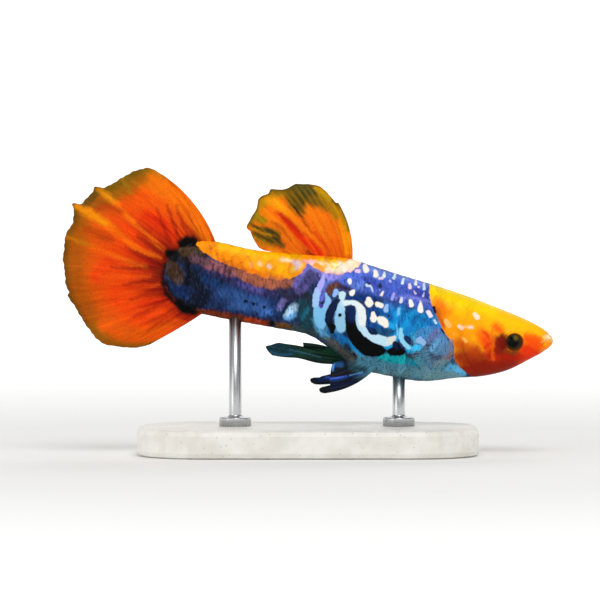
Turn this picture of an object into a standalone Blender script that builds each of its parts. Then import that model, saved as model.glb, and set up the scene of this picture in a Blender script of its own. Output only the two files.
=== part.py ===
"""A male fancy guppy, life size and still, on a plain stand.

It swims towards +X, nose a little down, with its right side towards -Y.
The fish is drawn level in its own frame, in which x runs forwards from the root of the tail and z up,
and an empty then tips it into its pose. Run with: blender --background --python part.py
"""

import math

import bmesh
import bpy
import numpy as np

for leftover in list(bpy.data.objects):
    bpy.data.objects.remove(leftover, do_unlink=True)

MM = 0.001

# Driving dimensions, in millimetres. The fish measures 33.5 from the snout to the root of the tail fin.
GAP = 0.3
POSE_AT = (-11.44, 0.0, 16.06)
NOSE_DOWN = 10.4

# The body's sections from the tail to the snout, in the fish's own frame: how far forwards, the height of
# the belly and of the back, half the width, how far up the section is widest as a share of its depth, and
# how full it is above and below that line, where 2 is an ellipse and more is boxier.
SECTIONS = np.array(
    [
        (-1.60, -3.24, 3.25, 0.38, 0.50, 3.0, 3.0),  # plate that carries the tail fin
        (2.70, -3.25, 3.24, 0.76, 0.50, 2.5, 2.5),  # corners of the tail fin
        (6.20, -3.27, 3.10, 1.12, 0.50, 2.2, 2.2),  # middle of the tail stalk
        (9.50, -3.26, 3.36, 1.45, 0.52, 2.2, 2.1),  # under the dorsal fin
        (12.30, -3.34, 3.66, 1.74, 0.54, 2.2, 2.0),  # in front of the anal fin
        (14.60, -4.28, 3.86, 1.97, 0.56, 2.2, 2.0),  # front of the dorsal fin
        (17.00, -5.38, 3.55, 2.14, 0.57, 2.3, 2.0),  # roots of the pelvic fins
        (20.00, -5.62, 3.18, 2.30, 0.57, 2.3, 2.0),  # deepest part of the belly
        (23.00, -5.52, 2.84, 2.40, 0.57, 2.4, 2.0),  # behind the pectoral fins
        (25.80, -4.72, 2.44, 2.38, 0.58, 2.5, 2.0),  # gill openings
        (28.20, -4.10, 1.99, 2.22, 0.60, 2.7, 2.0),  # cheeks
        (30.20, -3.18, 1.58, 1.98, 0.60, 2.8, 2.1),  # eyes
        (31.90, -1.90, 1.12, 1.62, 0.58, 2.8, 2.2),  # nostrils
        (33.10, -0.90, 0.56, 1.06, 0.55, 2.4, 2.2),  # lips
        (33.58, -0.08, -0.08, 0.00, 0.50, 2.0, 2.0),  # tip of the snout
    ]
)
SNOUT = len(SECTIONS) - 1

# Where the body is parted.
STALK_FRONT = 13.2
GILL_OPENING = 25.55
GILL_TOP_LEAN = 1.2
GILL_THROAT_LEAN = 2.4
GILL_COVER_STEP = 0.10
GILL_COVER_FADE = 0.8

# The tail stalk ends in half an ellipse, and the tail fin wraps round it.
PLATE_CENTRE = (2.68, 0.04)
PLATE_REACH = 4.0
PLATE_RISE = 3.24

# The head's features, on both sides alike.
EYE_AT = (30.09, -0.65)
EYE_RADIUS = 0.86
EYE_DEPTH = 0.66
EYE_SUNK = 0.28
ORBIT_RADIUS = 1.30
ORBIT_RISE = 0.08
ORBIT_WIDTH = 0.25
CHEEK_ARC_AT = (30.3, -0.9)
CHEEK_ARC_RADIUS = 2.0
CHEEK_ARC_FRONT = 29.9
CHEEK_GROOVE = 0.08
CHEEK_GROOVE_WIDTH = 0.22
MOUTH_LINE = np.array([(33.80, 0.16), (33.30, 0.08), (32.93, -0.06), (32.72, -0.32), (32.62, -0.62)])
MOUTH_SLIT = 0.12
MOUTH_HALF_WIDTH = 3.0
LIP_RISE = 0.09
LIP_OFFSET = 0.20
LIP_WIDTH = 0.13
NOSTRIL_RADIUS = 0.15
# Each nostril's place: how far forwards, and its angle up round the section in degrees.
NOSTRILS = ((31.75, 58.0), (32.30, 52.0))
# Rings of the head crowd towards the snout by this power.
SNOUT_CROWDING = 1.25

# The longest ray of each pelvic fin ends here in the side view, as the right one droops more.
PELVIC_TIPS = {"right": (14.00, -7.88), "left": (13.00, -7.42)}

# Thickness of the fins: a ray where it starts, and the membrane. A ray's ridge reaches to each side by a
# share of the way to the next ray. It loses some of what it stands out by its end, and every fin thins
# towards its tips over the last quarter of its length.
RAY_THICK = 0.98
WEB_THICK = 0.50
RAY_FOOT = 0.22
RAY_LOSS = 0.3
TIP_LOSS = 0.3
THINNING_FROM = 0.75
WEB_NOTCH = 0.025

# Where the fins stand, in the fish's own frame.
DORSAL_ROOT = (14.90, 7.15)
ANAL_ROOT = (16.40, 13.90)
PELVIC_ROOT = (18.60, 16.30)
PELVIC_OFF = 0.95
PELVIC_SWING = 14.0
PECTORAL_ROOT_X = 25.0
PECTORAL_ROOT_Z = (-1.45, -2.05, -2.65)
PECTORAL_SWING = 24.0

# The stand.
BASE_SIZE = (30.0, 16.0, 2.5)
BASE_CORNER = 6.0
BASE_EDGE = 0.5
ROD_RADIUS = 0.55
ROD_FOOT_RADIUS = 1.4
ROD_FOOT_HEIGHT = 0.5
ROD_EDGE = 0.1
ROD_FILLET = 0.3
FRONT_ROD_X = 8.0
REAR_ROD_X = -6.4

guppy = bpy.data.collections.new("fancy_guppy")
cutters = bpy.data.collections.new("cutters")
bpy.context.scene.collection.children.link(guppy)
bpy.context.scene.collection.children.link(cutters)
cutters.hide_render = True

pose = bpy.data.objects.new("fish_pose", None)
pose.location = [value * MM for value in POSE_AT]
pose.rotation_euler = (0, math.radians(NOSE_DOWN), 0)
guppy.objects.link(pose)


def material(name, color, roughness, metallic=0.0):
    made = bpy.data.materials.new(name)
    made.use_nodes = True
    shader = made.node_tree.nodes["Principled BSDF"]
    shader.inputs["Base Color"].default_value = (*color, 1)
    shader.inputs["Roughness"].default_value = roughness
    shader.inputs["Metallic"].default_value = metallic
    return made


def add_piece(name, mesh, finish, parent=pose, collection=guppy):
    piece = bpy.data.objects.new(name, mesh)
    piece.parent = parent
    collection.objects.link(piece)
    if finish:
        mesh.materials.append(finish)
    mesh.shade_smooth()
    return piece


def mesh_of(name, points, faces):
    """A mesh from points in millimetres."""
    mesh = bpy.data.meshes.new(name)
    mesh.from_pydata((np.reshape(points, (-1, 3)) * MM).tolist(), [], faces)
    mesh.validate()
    return mesh


def through(knots, at, after=None):
    """The Catmull-Rom curve through the knots, at places counted in knots from the first one.

    Beyond each end the knots go on in a straight line, unless after gives the one past the last.
    """
    knots = np.asarray(knots, float)
    before = 2 * knots[0] - knots[1]
    if after is None:
        after = 2 * knots[-1] - knots[-2]
    row = np.vstack([before, knots, after])
    low = np.clip(np.floor(at).astype(int), 0, len(knots) - 2)
    t = (at - low)[..., None]
    p0, p1, p2, p3 = row[low], row[low + 1], row[low + 2], row[low + 3]
    straight = 2 * p1 + (p2 - p0) * t
    bend = (2 * p0 - 5 * p1 + 4 * p2 - p3) * t**2 + (3 * p1 - p0 - 3 * p2 + p3) * t**3
    return (straight + bend) / 2


def section(at):
    """The body's section values. The one past the snout mirrors the lips', so that the snout is round."""
    past_snout = SECTIONS[-2].copy()
    past_snout[1:3] = 2 * SECTIONS[-1, 1:3] - SECTIONS[-2, 1:3]
    past_snout[3] = -SECTIONS[-2, 3]
    return np.moveaxis(through(SECTIONS, at, past_snout), -1, 0)


def section_at(x):
    """The place along SECTIONS whose section lies at x."""
    steps = np.linspace(0, SNOUT, 2000)
    return np.interp(x, section(steps)[0], steps)


def skin(at, angle):
    """A point of the smooth body: angle turns from the right side (0) over the back (90 degrees).

    Each section is a superellipse, in two halves that meet at its widest line.
    """
    x, belly, back, half_width, widest, above, below = section(at)
    height = belly + widest * (back - belly)
    c, s = np.cos(angle), np.sin(angle)
    fullness = np.where(s > 0, above, below)
    reach = (np.abs(c) ** fullness + np.abs(s) ** fullness) ** (-1 / fullness)
    half_height = np.where(s > 0, back - height, height - belly)
    return np.stack([x, -half_width * reach * c, height + half_height * reach * s], -1)


def flank(x, z):
    """Half the body's width at x and height z."""
    _, belly, back, half_width, widest, above, below = section(section_at(x))
    height = belly + widest * (back - belly)
    upper = z > height
    fullness = np.where(upper, above, below)
    share = np.abs(z - height) / np.where(upper, back - height, height - belly)
    return half_width * (1 - np.clip(share, 0, 1) ** fullness) ** (1 / fullness)


def underside(x, y=0.0):
    """The height of the belly at x, to the side of the keel by y."""
    _, belly, back, half_width, widest, _, below = section(section_at(x))
    height = belly + widest * (back - belly)
    return height - (height - belly) * (1 - np.abs(y / half_width) ** below) ** (1 / below)


def path_distance(x, z, path):
    """How far each point of the side view is from a path of straight lines."""
    nearest = np.full(np.shape(x), np.inf)
    for (x0, z0), (x1, z1) in zip(path[:-1], path[1:]):
        run, rise = x1 - x0, z1 - z0
        share = np.clip(((x - x0) * run + (z - z0) * rise) / (run**2 + rise**2), 0, 1)
        nearest = np.minimum(nearest, np.hypot(x - x0 - share * run, z - z0 - share * rise))
    return nearest


def gill_line(angle):
    """How far forwards the gill opening lies: it leans forwards to the nape and more to the throat."""
    lean = np.where(np.sin(angle) > 0, GILL_TOP_LEAN, GILL_THROAT_LEAN)
    return GILL_OPENING + lean * np.sin(angle) ** 2


def bump(distance, width):
    return np.exp(-((distance / width) ** 2))


def relief(points, angle):
    """How far the skin stands out: the gill cover's step, the cheek's groove, the orbit and the lips."""
    x, z = points[..., 0], points[..., 2]
    behind = x - gill_line(angle)
    out = GILL_COVER_STEP * np.sign(behind) * bump(behind, GILL_COVER_FADE) * np.cos(angle) ** 2
    arc = np.hypot(x - CHEEK_ARC_AT[0], z - CHEEK_ARC_AT[1]) - CHEEK_ARC_RADIUS
    out -= CHEEK_GROOVE * bump(arc, CHEEK_GROOVE_WIDTH) * (x < CHEEK_ARC_FRONT)
    orbit = np.hypot(x - EYE_AT[0], z - EYE_AT[1]) - ORBIT_RADIUS
    out += ORBIT_RISE * bump(orbit, ORBIT_WIDTH)
    out += LIP_RISE * bump(path_distance(x, z, MOUTH_LINE) - LIP_OFFSET, LIP_WIDTH)
    return out


def facing(grid):
    """Unit normals of a grid of points, from the lines along and across it."""
    along, around = np.gradient(grid, axis=0), np.gradient(grid, axis=1)
    normal = np.cross(along, around)
    return normal / np.maximum(np.linalg.norm(normal, axis=-1, keepdims=True), 1e-9)


def flesh(name, rear, front, rows, sides, finish, snout=False):
    """A length of the body between two cuts, each given as its place along SECTIONS for each angle.

    Rings of skin points run from the rear cut to the front one. A cut is closed by strips from side to
    side, and at the snout the last ring is one point.
    """
    angle = np.radians(-90 + 360 * np.arange(sides) / sides)
    share = np.linspace(0, 1, rows)[:, None]
    if snout:
        share = 1 - (1 - share) ** SNOUT_CROWDING
    at = rear(angle) * (1 - share) + front(angle) * share
    turned = np.broadcast_to(angle, at.shape)
    grid = skin(at, turned)
    wrapped = np.concatenate([grid[:, -1:], grid, grid[:, :1]], 1)
    grid = grid + facing(wrapped)[:, 1:-1] * relief(grid, turned)[..., None]
    rings = rows - 1 if snout else rows
    ring = np.arange(sides)
    faces = []
    for row in range(rings - 1):
        near, far = row * sides, (row + 1) * sides
        for i in ring:
            j = (i + 1) % sides
            faces.append((near + i, far + i, far + j, near + j))
    points = grid[:rings].reshape(-1, 3)
    faces += strips(0, sides, turn=1)
    if snout:
        last = (rings - 1) * sides
        points = np.vstack([points, skin(np.array([float(SNOUT)]), np.zeros(1))])
        faces += [(last + i, len(points) - 1, last + (i + 1) % sides) for i in ring]
    else:
        faces += strips((rings - 1) * sides, sides, turn=-1)
    return add_piece(name, mesh_of(name, points, faces), finish)


def strips(first, sides, turn):
    """Faces that close a ring from side to side. Its first point is lowest, and its middle one highest."""
    top = sides // 2
    made = [(first, first + 1, first + sides - 1), (first + top, first + top + 1, first + top - 1)]
    for i in range(1, top - 1):
        made.append((first + i, first + i + 1, first + sides - i - 1, first + sides - i))
    return made if turn > 0 else [face[::-1] for face in made]


def fin(
    name, root, margin, rays, rows, bow, finish, side=1, off=0.0, swing=0.0, folds=(0.0, 0.0), notch=0.0
):
    """A fin as one sheet of rays with membrane between them, given thickness by Solidify.

    Every ray is a shallow bow from the root's line to the margin's line, a ridge with a foot on each side,
    and the membrane between two rays is thinner and cut back a little at the margin. The sheet stands off
    the fish's middle by off, swings outwards by swing degrees and waves from side to side to its margin.
    bow says how far a ray's control point stands off its chord, at the first ray and at the last one, and
    folds gives the wave's height and how many there are.
    """
    places = [ray + foot for ray in range(rays) for foot in (0, RAY_FOOT, 1 - RAY_FOOT)]
    across = np.array(places[:-2]) / (rays - 1)
    columns = len(across)
    web = np.arange(columns) % 3 > 0
    start = through(root, across * (len(root) - 1))
    end = through(margin, across * (len(margin) - 1))
    end = start + (end - start) * (1 - notch * web)[:, None]
    run = end - start
    bows = bow[0] + (bow[1] - bow[0]) * across
    middle = (start + end) / 2 + np.stack([-run[:, 1], run[:, 0]], -1) * bows[:, None]
    r = np.linspace(0, 1, rows)[None, :, None]
    flat = (1 - r) ** 2 * start[:, None] + 2 * r * (1 - r) * middle[:, None] + r**2 * end[:, None]
    r = np.broadcast_to(r[..., 0], flat.shape[:2])
    out = math.radians(swing)
    reach = start[:, :1] - flat[..., 0]
    x = start[:, :1] - reach * math.cos(out)
    wave = folds[0] * np.sin(2 * math.pi * folds[1] * across)
    y = off + reach * math.sin(out) + wave[:, None] * r**1.5
    points = np.stack([x, y * side, flat[..., 1]], -1)
    faces = []
    for i in range(columns - 1):
        for j in range(rows - 1):
            a = i * rows + j
            b = a + rows
            faces += [(a, b, b + 1), (a, b + 1, a + 1)]
    piece = add_piece(name, mesh_of(name, points, faces), finish)
    ray = WEB_THICK + (RAY_THICK - WEB_THICK) * (1 - RAY_LOSS * r)
    thick = np.where(web[:, None], WEB_THICK, ray)
    thick = thick * (1 - TIP_LOSS * np.clip((r - THINNING_FROM) / (1 - THINNING_FROM), 0, 1))
    group = piece.vertex_groups.new(name="thickness")
    for index, value in enumerate((thick / RAY_THICK).ravel()):
        group.add([index], float(value), "REPLACE")
    solidify = piece.modifiers.new("Solidify", "SOLIDIFY")
    solidify.thickness = RAY_THICK * MM
    solidify.offset = 0
    solidify.vertex_group = "thickness"
    return piece


def tail_plate(turn, grow=0.0):
    """A point on the half ellipse that ends the tail stalk, where turn goes from -1 below to 1 above."""
    angle = np.asarray(turn) * math.pi / 2
    x = PLATE_CENTRE[0] - (PLATE_REACH + grow) * np.cos(angle)
    return np.stack([x, PLATE_CENTRE[1] + (PLATE_RISE + grow) * np.sin(angle)], -1)


def plate_cut(angle):
    """The tail stalk's rear end along SECTIONS: the half ellipse, met by the skin at each angle."""
    height = skin(np.zeros(angle.shape), angle)[:, 2]
    rise = np.clip((height - PLATE_CENTRE[1]) / PLATE_RISE, -1, 1)
    return section_at(PLATE_CENTRE[0] - PLATE_REACH * np.sqrt(1 - rise**2))


def ellipsoid(name, at, radii, finish=None, collection=guppy, segments=20, rings=12):
    mesh = bpy.data.meshes.new(name)
    ball = bmesh.new()
    bmesh.ops.create_uvsphere(ball, u_segments=segments, v_segments=rings, radius=1)
    for vertex in ball.verts:
        vertex.co = [(value * radius + centre) * MM for value, radius, centre in zip(vertex.co, radii, at)]
    ball.to_mesh(mesh)
    ball.free()
    return add_piece(name, mesh, finish, collection=collection)


def cut(piece, cutter):
    cutter.display_type = "WIRE"
    cutter.hide_render = True
    boolean = piece.modifiers.new("cut_" + cutter.name, "BOOLEAN")
    boolean.operation = "DIFFERENCE"
    boolean.object = cutter


def mouth_cutter():
    """A thin curved slab across the snout, which leaves the line of the mouth."""
    points = [(x, y, z) for x, z in MOUTH_LINE for y in (-MOUTH_HALF_WIDTH, MOUTH_HALF_WIDTH)]
    faces = [(i, i + 1, i + 3, i + 2) for i in range(0, len(points) - 2, 2)]
    slab = add_piece("mouth_slit", mesh_of("mouth_slit", points, faces), None, collection=cutters)
    solidify = slab.modifiers.new("Solidify", "SOLIDIFY")
    solidify.thickness = MOUTH_SLIT * MM
    solidify.offset = 0
    return slab


def make_head(finish):
    head = flesh(
        "head",
        lambda angle: section_at(gill_line(angle) + GAP / 2),
        lambda angle: np.full(angle.shape, float(SNOUT)),
        rows=38,
        sides=44,
        finish=finish,
        snout=True,
    )
    cut(head, mouth_cutter())
    eye_y = flank(EYE_AT[0], EYE_AT[1]) - EYE_SUNK
    for side, word in ((-1, "right"), (1, "left")):
        at = (EYE_AT[0], side * eye_y, EYE_AT[1])
        socket = [EYE_RADIUS + GAP, EYE_DEPTH + GAP, EYE_RADIUS + GAP]
        cut(head, ellipsoid("socket_" + word, at, socket, collection=cutters))
        for number, (x, angle) in enumerate(NOSTRILS):
            turned = math.radians(angle if side < 0 else 180 - angle)
            place = skin(section_at(np.array([x])), np.array([turned]))[0]
            pit = [NOSTRIL_RADIUS] * 3
            cut(head, ellipsoid(f"nostril_{word}_{number}", place, pit, None, cutters, 10, 6))
        iris = material("eye_" + word, (0.03, 0.025, 0.02), 0.15)
        ellipsoid("eye_" + word, at, (EYE_RADIUS, EYE_DEPTH, EYE_RADIUS), iris)


def make_body():
    make_head(material("head_skin", (0.95, 0.35, 0.02), 0.45))
    flesh(
        "trunk",
        lambda angle: section_at(np.full(angle.shape, STALK_FRONT + GAP / 2)),
        lambda angle: section_at(gill_line(angle) - GAP / 2),
        rows=22,
        sides=40,
        finish=material("trunk_skin", (0.10, 0.35, 0.70), 0.40),
    )
    flesh(
        "tail_stalk",
        plate_cut,
        lambda angle: section_at(np.full(angle.shape, STALK_FRONT - GAP / 2)),
        rows=18,
        sides=36,
        finish=material("stalk_skin", (0.12, 0.14, 0.45), 0.42),
    )


def make_caudal_fin():
    """The tail fin: a rounded fan with three long points where its stiffest folds run out."""
    margin = [
        (-2.60, -7.28),
        (-4.50, -7.50),
        (-6.45, -6.95),
        (-8.00, -5.30),
        (-9.45, -3.20),
        (-10.38, -0.80),
        (-10.42, 1.30),
        (-9.98, 2.75),
        (-10.20, 4.25),
        (-8.50, 6.10),
        (-6.40, 7.30),
        (-4.30, 8.60),
    ]
    root = tail_plate(np.linspace(-1, 1, 9), GAP)
    fin(
        "caudal_fin",
        root,
        margin,
        rays=19,
        rows=13,
        bow=(0.07, -0.17),
        finish=material("caudal_fin_web", (0.95, 0.25, 0.01), 0.5),
        folds=(0.32, 4.5),
        notch=WEB_NOTCH,
    )


def make_dorsal_fin():
    """The dorsal fin: its root follows the back, and its rays lean backwards more towards the rear."""
    places = np.linspace(*DORSAL_ROOT, 6)
    root = np.stack([places, section(section_at(places))[2] + GAP], -1)
    margin = [
        (12.67, 8.55),
        (11.60, 9.20),
        (10.39, 9.75),
        (9.16, 9.70),
        (8.05, 9.20),
        (6.55, 8.68),
        (5.74, 7.69),
        (5.50, 6.40),
        (5.20, 5.08),
    ]
    fin(
        "dorsal_fin",
        root,
        margin,
        rays=10,
        rows=11,
        bow=(-0.15, 0.16),
        finish=material("dorsal_fin_web", (0.85, 0.30, 0.02), 0.5),
        folds=(0.18, 2.5),
        notch=WEB_NOTCH,
    )


def make_anal_fin():
    """The male's anal fin: its front rays are drawn out into a long rod, and its rear ones stay short."""
    places = np.linspace(*ANAL_ROOT, 5)
    root = np.stack([places, underside(places) - GAP], -1)
    margin = [
        (9.45, -5.72),
        (8.80, -5.45),
        (8.78, -4.95),
        (9.90, -4.62),
        (11.40, -4.48),
        (11.95, -4.15),
    ]
    fin(
        "gonopodium",
        root,
        margin,
        rays=5,
        rows=11,
        bow=(0.0, -0.06),
        finish=material("gonopodium_web", (0.03, 0.10, 0.05), 0.45),
    )


def make_paired_fins():
    pelvic_web = material("pelvic_fin_web", (0.02, 0.03, 0.12), 0.45)
    pectoral_web = material("pectoral_fin_web", (0.65, 0.70, 0.72), 0.3)
    for side, word in ((-1, "right"), (1, "left")):
        places = np.linspace(*PELVIC_ROOT, 4)
        root = np.stack([places, underside(places, PELVIC_OFF) - GAP], -1)
        tip_x, tip_z = PELVIC_TIPS[word]
        margin = [
            (tip_x, tip_z),
            (tip_x + 0.8, tip_z + 0.40),
            (14.65, -6.75),
            (14.70, -6.15),
            (15.00, -5.60),
        ]
        fin(
            "pelvic_fin_" + word,
            root,
            margin,
            rays=5,
            rows=9,
            bow=(0.18, -0.05),
            finish=pelvic_web,
            side=side,
            off=PELVIC_OFF,
            swing=PELVIC_SWING,
        )
        root = [(PECTORAL_ROOT_X, z) for z in PECTORAL_ROOT_Z]
        margin = [(22.60, -0.40), (21.10, -1.10), (20.75, -2.60), (21.60, -4.00), (23.10, -4.55)]
        fin(
            "pectoral_fin_" + word,
            root,
            margin,
            rays=8,
            rows=7,
            bow=(0.05, -0.05),
            finish=pectoral_web,
            side=side,
            off=float(flank(PECTORAL_ROOT_X, PECTORAL_ROOT_Z[1])) + GAP + RAY_THICK / 2,
            swing=PECTORAL_SWING,
            notch=WEB_NOTCH,
        )


def make_rod(name, x, finish):
    """A rod with a round foot, from just above the base to just under the belly."""
    steps = np.linspace(1, SNOUT - 1, 4000)
    places = skin(steps, np.full(steps.shape, math.radians(-90)))
    tip = math.radians(NOSE_DOWN)
    belly_x = POSE_AT[0] + places[:, 0] * math.cos(tip) + places[:, 2] * math.sin(tip)
    belly_z = POSE_AT[2] - places[:, 0] * math.sin(tip) + places[:, 2] * math.cos(tip)
    over = np.abs(belly_x - x) < ROD_RADIUS
    top = belly_z[over].min() - GAP
    foot = BASE_SIZE[2] + GAP
    shoulder = foot + ROD_FOOT_HEIGHT
    profile = [
        (0.0, top),
        (ROD_RADIUS - ROD_EDGE, top),
        (ROD_RADIUS, top - ROD_EDGE),
        (ROD_RADIUS, shoulder + ROD_FILLET),
        (ROD_RADIUS + ROD_FILLET, shoulder),
        (ROD_FOOT_RADIUS, shoulder - ROD_EDGE),
        (ROD_FOOT_RADIUS, foot),
        (0.0, foot),
    ]
    points = [(radius, 0.0, height) for radius, height in profile]
    mesh = mesh_of(name, points, [])
    mesh.edges.add(len(points) - 1)
    for index, edge in enumerate(mesh.edges):
        edge.vertices = (index, index + 1)
    rod = add_piece(name, mesh, finish, parent=None)
    rod.location = (x * MM, 0, 0)
    screw = rod.modifiers.new("Screw", "SCREW")
    screw.steps = screw.render_steps = 20
    screw.use_merge_vertices = True
    screw.merge_threshold = 0.00001
    return rod


def make_stand():
    length, depth, height = BASE_SIZE
    mesh = bpy.data.meshes.new("stand_base")
    block = bmesh.new()
    bmesh.ops.create_cube(block, size=1)
    for vertex in block.verts:
        x, y, z = vertex.co
        vertex.co = (x * length * MM, y * depth * MM, (z + 0.5) * height * MM)
    upright = [e for e in block.edges if abs(e.verts[0].co.z - e.verts[1].co.z) > height * MM / 2]
    bmesh.ops.bevel(block, geom=upright, offset=BASE_CORNER * MM, segments=8, profile=0.5, affect="EDGES")
    block.to_mesh(mesh)
    block.free()
    base = add_piece("stand_base", mesh, material("base_resin", (0.86, 0.85, 0.82), 0.5), parent=None)
    bevel = base.modifiers.new("Bevel", "BEVEL")
    bevel.width = BASE_EDGE * MM
    bevel.segments = 2
    bevel.limit_method = "ANGLE"
    bevel.angle_limit = math.radians(60)
    steel = material("rod_steel", (0.62, 0.62, 0.63), 0.3, 1.0)
    make_rod("stand_rod_front", FRONT_ROD_X, steel)
    make_rod("stand_rod_rear", REAR_ROD_X, steel)


make_body()
make_caudal_fin()
make_dorsal_fin()
make_anal_fin()
make_paired_fins()
make_stand()
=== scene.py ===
"""A male fancy guppy in its full colours, life size, on a plain stand.

It swims towards +X with its nose a little down, and its right side faces the camera, which looks along +Y.
Sizes are in millimetres until a mesh is made.
"""

import math

import bpy
import numpy as np
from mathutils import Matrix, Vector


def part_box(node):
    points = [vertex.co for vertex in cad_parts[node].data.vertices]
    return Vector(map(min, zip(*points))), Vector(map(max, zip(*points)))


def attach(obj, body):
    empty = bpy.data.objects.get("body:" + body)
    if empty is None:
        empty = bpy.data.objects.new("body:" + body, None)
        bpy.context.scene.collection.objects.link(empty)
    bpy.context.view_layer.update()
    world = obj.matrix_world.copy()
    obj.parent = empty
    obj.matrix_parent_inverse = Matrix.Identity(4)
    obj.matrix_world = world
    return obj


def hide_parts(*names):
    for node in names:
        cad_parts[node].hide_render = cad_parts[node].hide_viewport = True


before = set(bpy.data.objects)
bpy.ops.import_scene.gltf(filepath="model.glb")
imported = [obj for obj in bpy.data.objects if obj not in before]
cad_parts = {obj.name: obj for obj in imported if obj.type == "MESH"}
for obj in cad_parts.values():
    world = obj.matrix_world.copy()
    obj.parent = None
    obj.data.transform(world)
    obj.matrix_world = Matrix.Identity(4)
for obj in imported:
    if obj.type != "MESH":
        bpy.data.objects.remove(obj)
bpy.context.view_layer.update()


# The room: a pale paper floor that curves up into the backdrop far from the model, as under a small object
# photographed on a table. It lies loose and carries nothing but the stand.

MM = 0.001
FLOOR_FLAT = 1000.0
FLOOR_CURVE = 420.0
PAPER_GLOW = 0.55
GLOW_REACH = (0.05, 0.30)
FLOOR_RINGS = (20.0, 100.0, 400.0)
FLOOR_SPOKES = 96
FLOOR_STEPS = 16


def linear(code):
    """A colour's hex code as linear light, with each channel taken back through its sRGB curve."""
    channel = np.array([int(code[i : i + 2], 16) / 255 for i in (1, 3, 5)])
    light = np.where(channel > 0.04045, ((channel + 0.055) / 1.055) ** 2.4, channel / 12.92)
    return (*light.tolist(), 1.0)


def add_node(tree, kind, inputs=None, output=0, **settings):
    """Adds a shader node with its settings, and gives the socket of one of its outputs.

    Each input takes a value, or the socket that feeds it.
    """
    made = tree.nodes.new("ShaderNode" + kind)
    for name, value in settings.items():
        setattr(made, name, value)
    for key, value in (inputs or {}).items():
        if isinstance(value, bpy.types.NodeSocket):
            tree.links.new(value, made.inputs[key])
        else:
            made.inputs[key].default_value = value
    return made.outputs[output] if made.outputs else None


def new_material(name):
    """An empty material, and its node tree."""
    made = bpy.data.materials.new(name)
    made.use_nodes = True
    made.node_tree.nodes.clear()
    return made, made.node_tree


def new_piece(name, points, faces, material):
    """A smooth mesh object at the origin, from points in millimetres and arrays of corner numbers."""
    mesh = bpy.data.meshes.new(name)
    corners = [face for kind in faces for face in kind.tolist()]
    mesh.from_pydata((np.reshape(points, (-1, 3)) * MM).tolist(), [], corners)
    mesh.shade_smooth()
    mesh.materials.append(material)
    piece = bpy.data.objects.new(name, mesh)
    bpy.context.scene.collection.objects.link(piece)
    return piece


def quads(number):
    """The four corner numbers of each cell in a grid of point numbers."""
    cells = [number[:-1, :-1], number[1:, :-1], number[1:, 1:], number[:-1, 1:]]
    return np.stack(cells, -1).reshape(-1, 4)


def ring_closed(number):
    """A grid of point numbers whose rows each end where they start."""
    return np.hstack([number, number[:, :1]])


# Matt paper: it scatters all light evenly. Far from the model it glows a little, so that no horizon shows.
paper, tree = new_material("matt_white_paper")
where = add_node(tree, "TexCoord", output="Object")
away = add_node(tree, "VectorMath", {0: where}, "Value", operation="LENGTH")
glow = add_node(tree, "MapRange", {0: away, 1: GLOW_REACH[0], 2: GLOW_REACH[1], 4: PAPER_GLOW})
shader = add_node(
    tree,
    "BsdfPrincipled",
    {
        "Base Color": linear("#f2f2f0"),
        "Roughness": 0.9,
        "Specular IOR Level": 0.1,
        "Emission Color": linear("#ffffff"),
        "Emission Strength": glow,
    },
)
add_node(tree, "OutputMaterial", {0: shader})

# A surface of revolution: flat rings, then a quarter circle that climbs.
turn = np.linspace(0, 2 * math.pi, FLOOR_SPOKES, endpoint=False)[None, :]
climb = np.linspace(0, math.pi / 2, FLOOR_STEPS)[:, None]
flat = np.array(FLOOR_RINGS)[:, None]
reach = np.vstack([flat, FLOOR_FLAT + FLOOR_CURVE * np.sin(climb)])
height = np.vstack([0 * flat, FLOOR_CURVE * (1 - np.cos(climb))])
points = np.stack([reach * np.cos(turn), reach * np.sin(turn), height + 0 * turn], -1).reshape(-1, 3)
number = ring_closed(np.arange(len(points)).reshape(len(reach), -1))
hub = np.full(turn.size, len(points))
centre = np.stack([hub, number[0, :-1], number[0, 1:]], -1)
floor = new_piece("floor", np.vstack([points, [[0, 0, 0]]]), [quads(number), centre], paper)


# The camera and the lamps: a long lens level with the fish, a large soft lamp above and in front of it, a
# weaker one on each side, and an even sky.

VIEW_DISTANCE = 400.0
VIEW_WIDTH = 52.8
VIEW_CENTRE = (-0.70, 13.60)
VIEW_RISE = 1.5
SENSOR = 36.0
LAMPS = (
    # name, place, size, watts
    ("key", (40.0, -260.0, 360.0), 260.0, 0.62),
    ("fill", (-330.0, -240.0, 160.0), 260.0, 0.25),
    ("back", (60.0, 330.0, 300.0), 260.0, 0.28),
)
SKY = 0.55

camera = bpy.data.objects.new("camera", bpy.data.cameras.new("camera"))
camera.data.sensor_width = SENSOR
camera.data.lens = SENSOR * VIEW_DISTANCE / VIEW_WIDTH
camera.data.clip_start = 0.01
camera.data.clip_end = 10.0
rise = math.radians(VIEW_RISE)
camera.location = [
    VIEW_CENTRE[0] * MM,
    -VIEW_DISTANCE * math.cos(rise) * MM,
    (VIEW_CENTRE[1] + VIEW_DISTANCE * math.sin(rise)) * MM,
]
camera.rotation_euler = (math.pi / 2 - rise, 0, 0)
bpy.context.scene.collection.objects.link(camera)
bpy.context.scene.camera = camera
for name, spot, size, watts in LAMPS:
    lamp = bpy.data.objects.new(name, bpy.data.lights.new(name, "AREA"))
    lamp.data.shape = "DISK"
    lamp.data.size = size * MM
    lamp.data.energy = watts
    lamp.location = [value * MM for value in spot]
    way = np.array([0.0, 0.0, VIEW_CENTRE[1]]) - spot
    lamp.rotation_euler = (math.atan2(math.hypot(way[0], way[1]), -way[2]), 0, math.atan2(-way[0], way[1]))
    bpy.context.scene.collection.objects.link(lamp)
world = bpy.data.worlds.new("even_sky")
world.use_nodes = True
world.node_tree.nodes["Background"].inputs["Strength"].default_value = SKY
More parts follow.
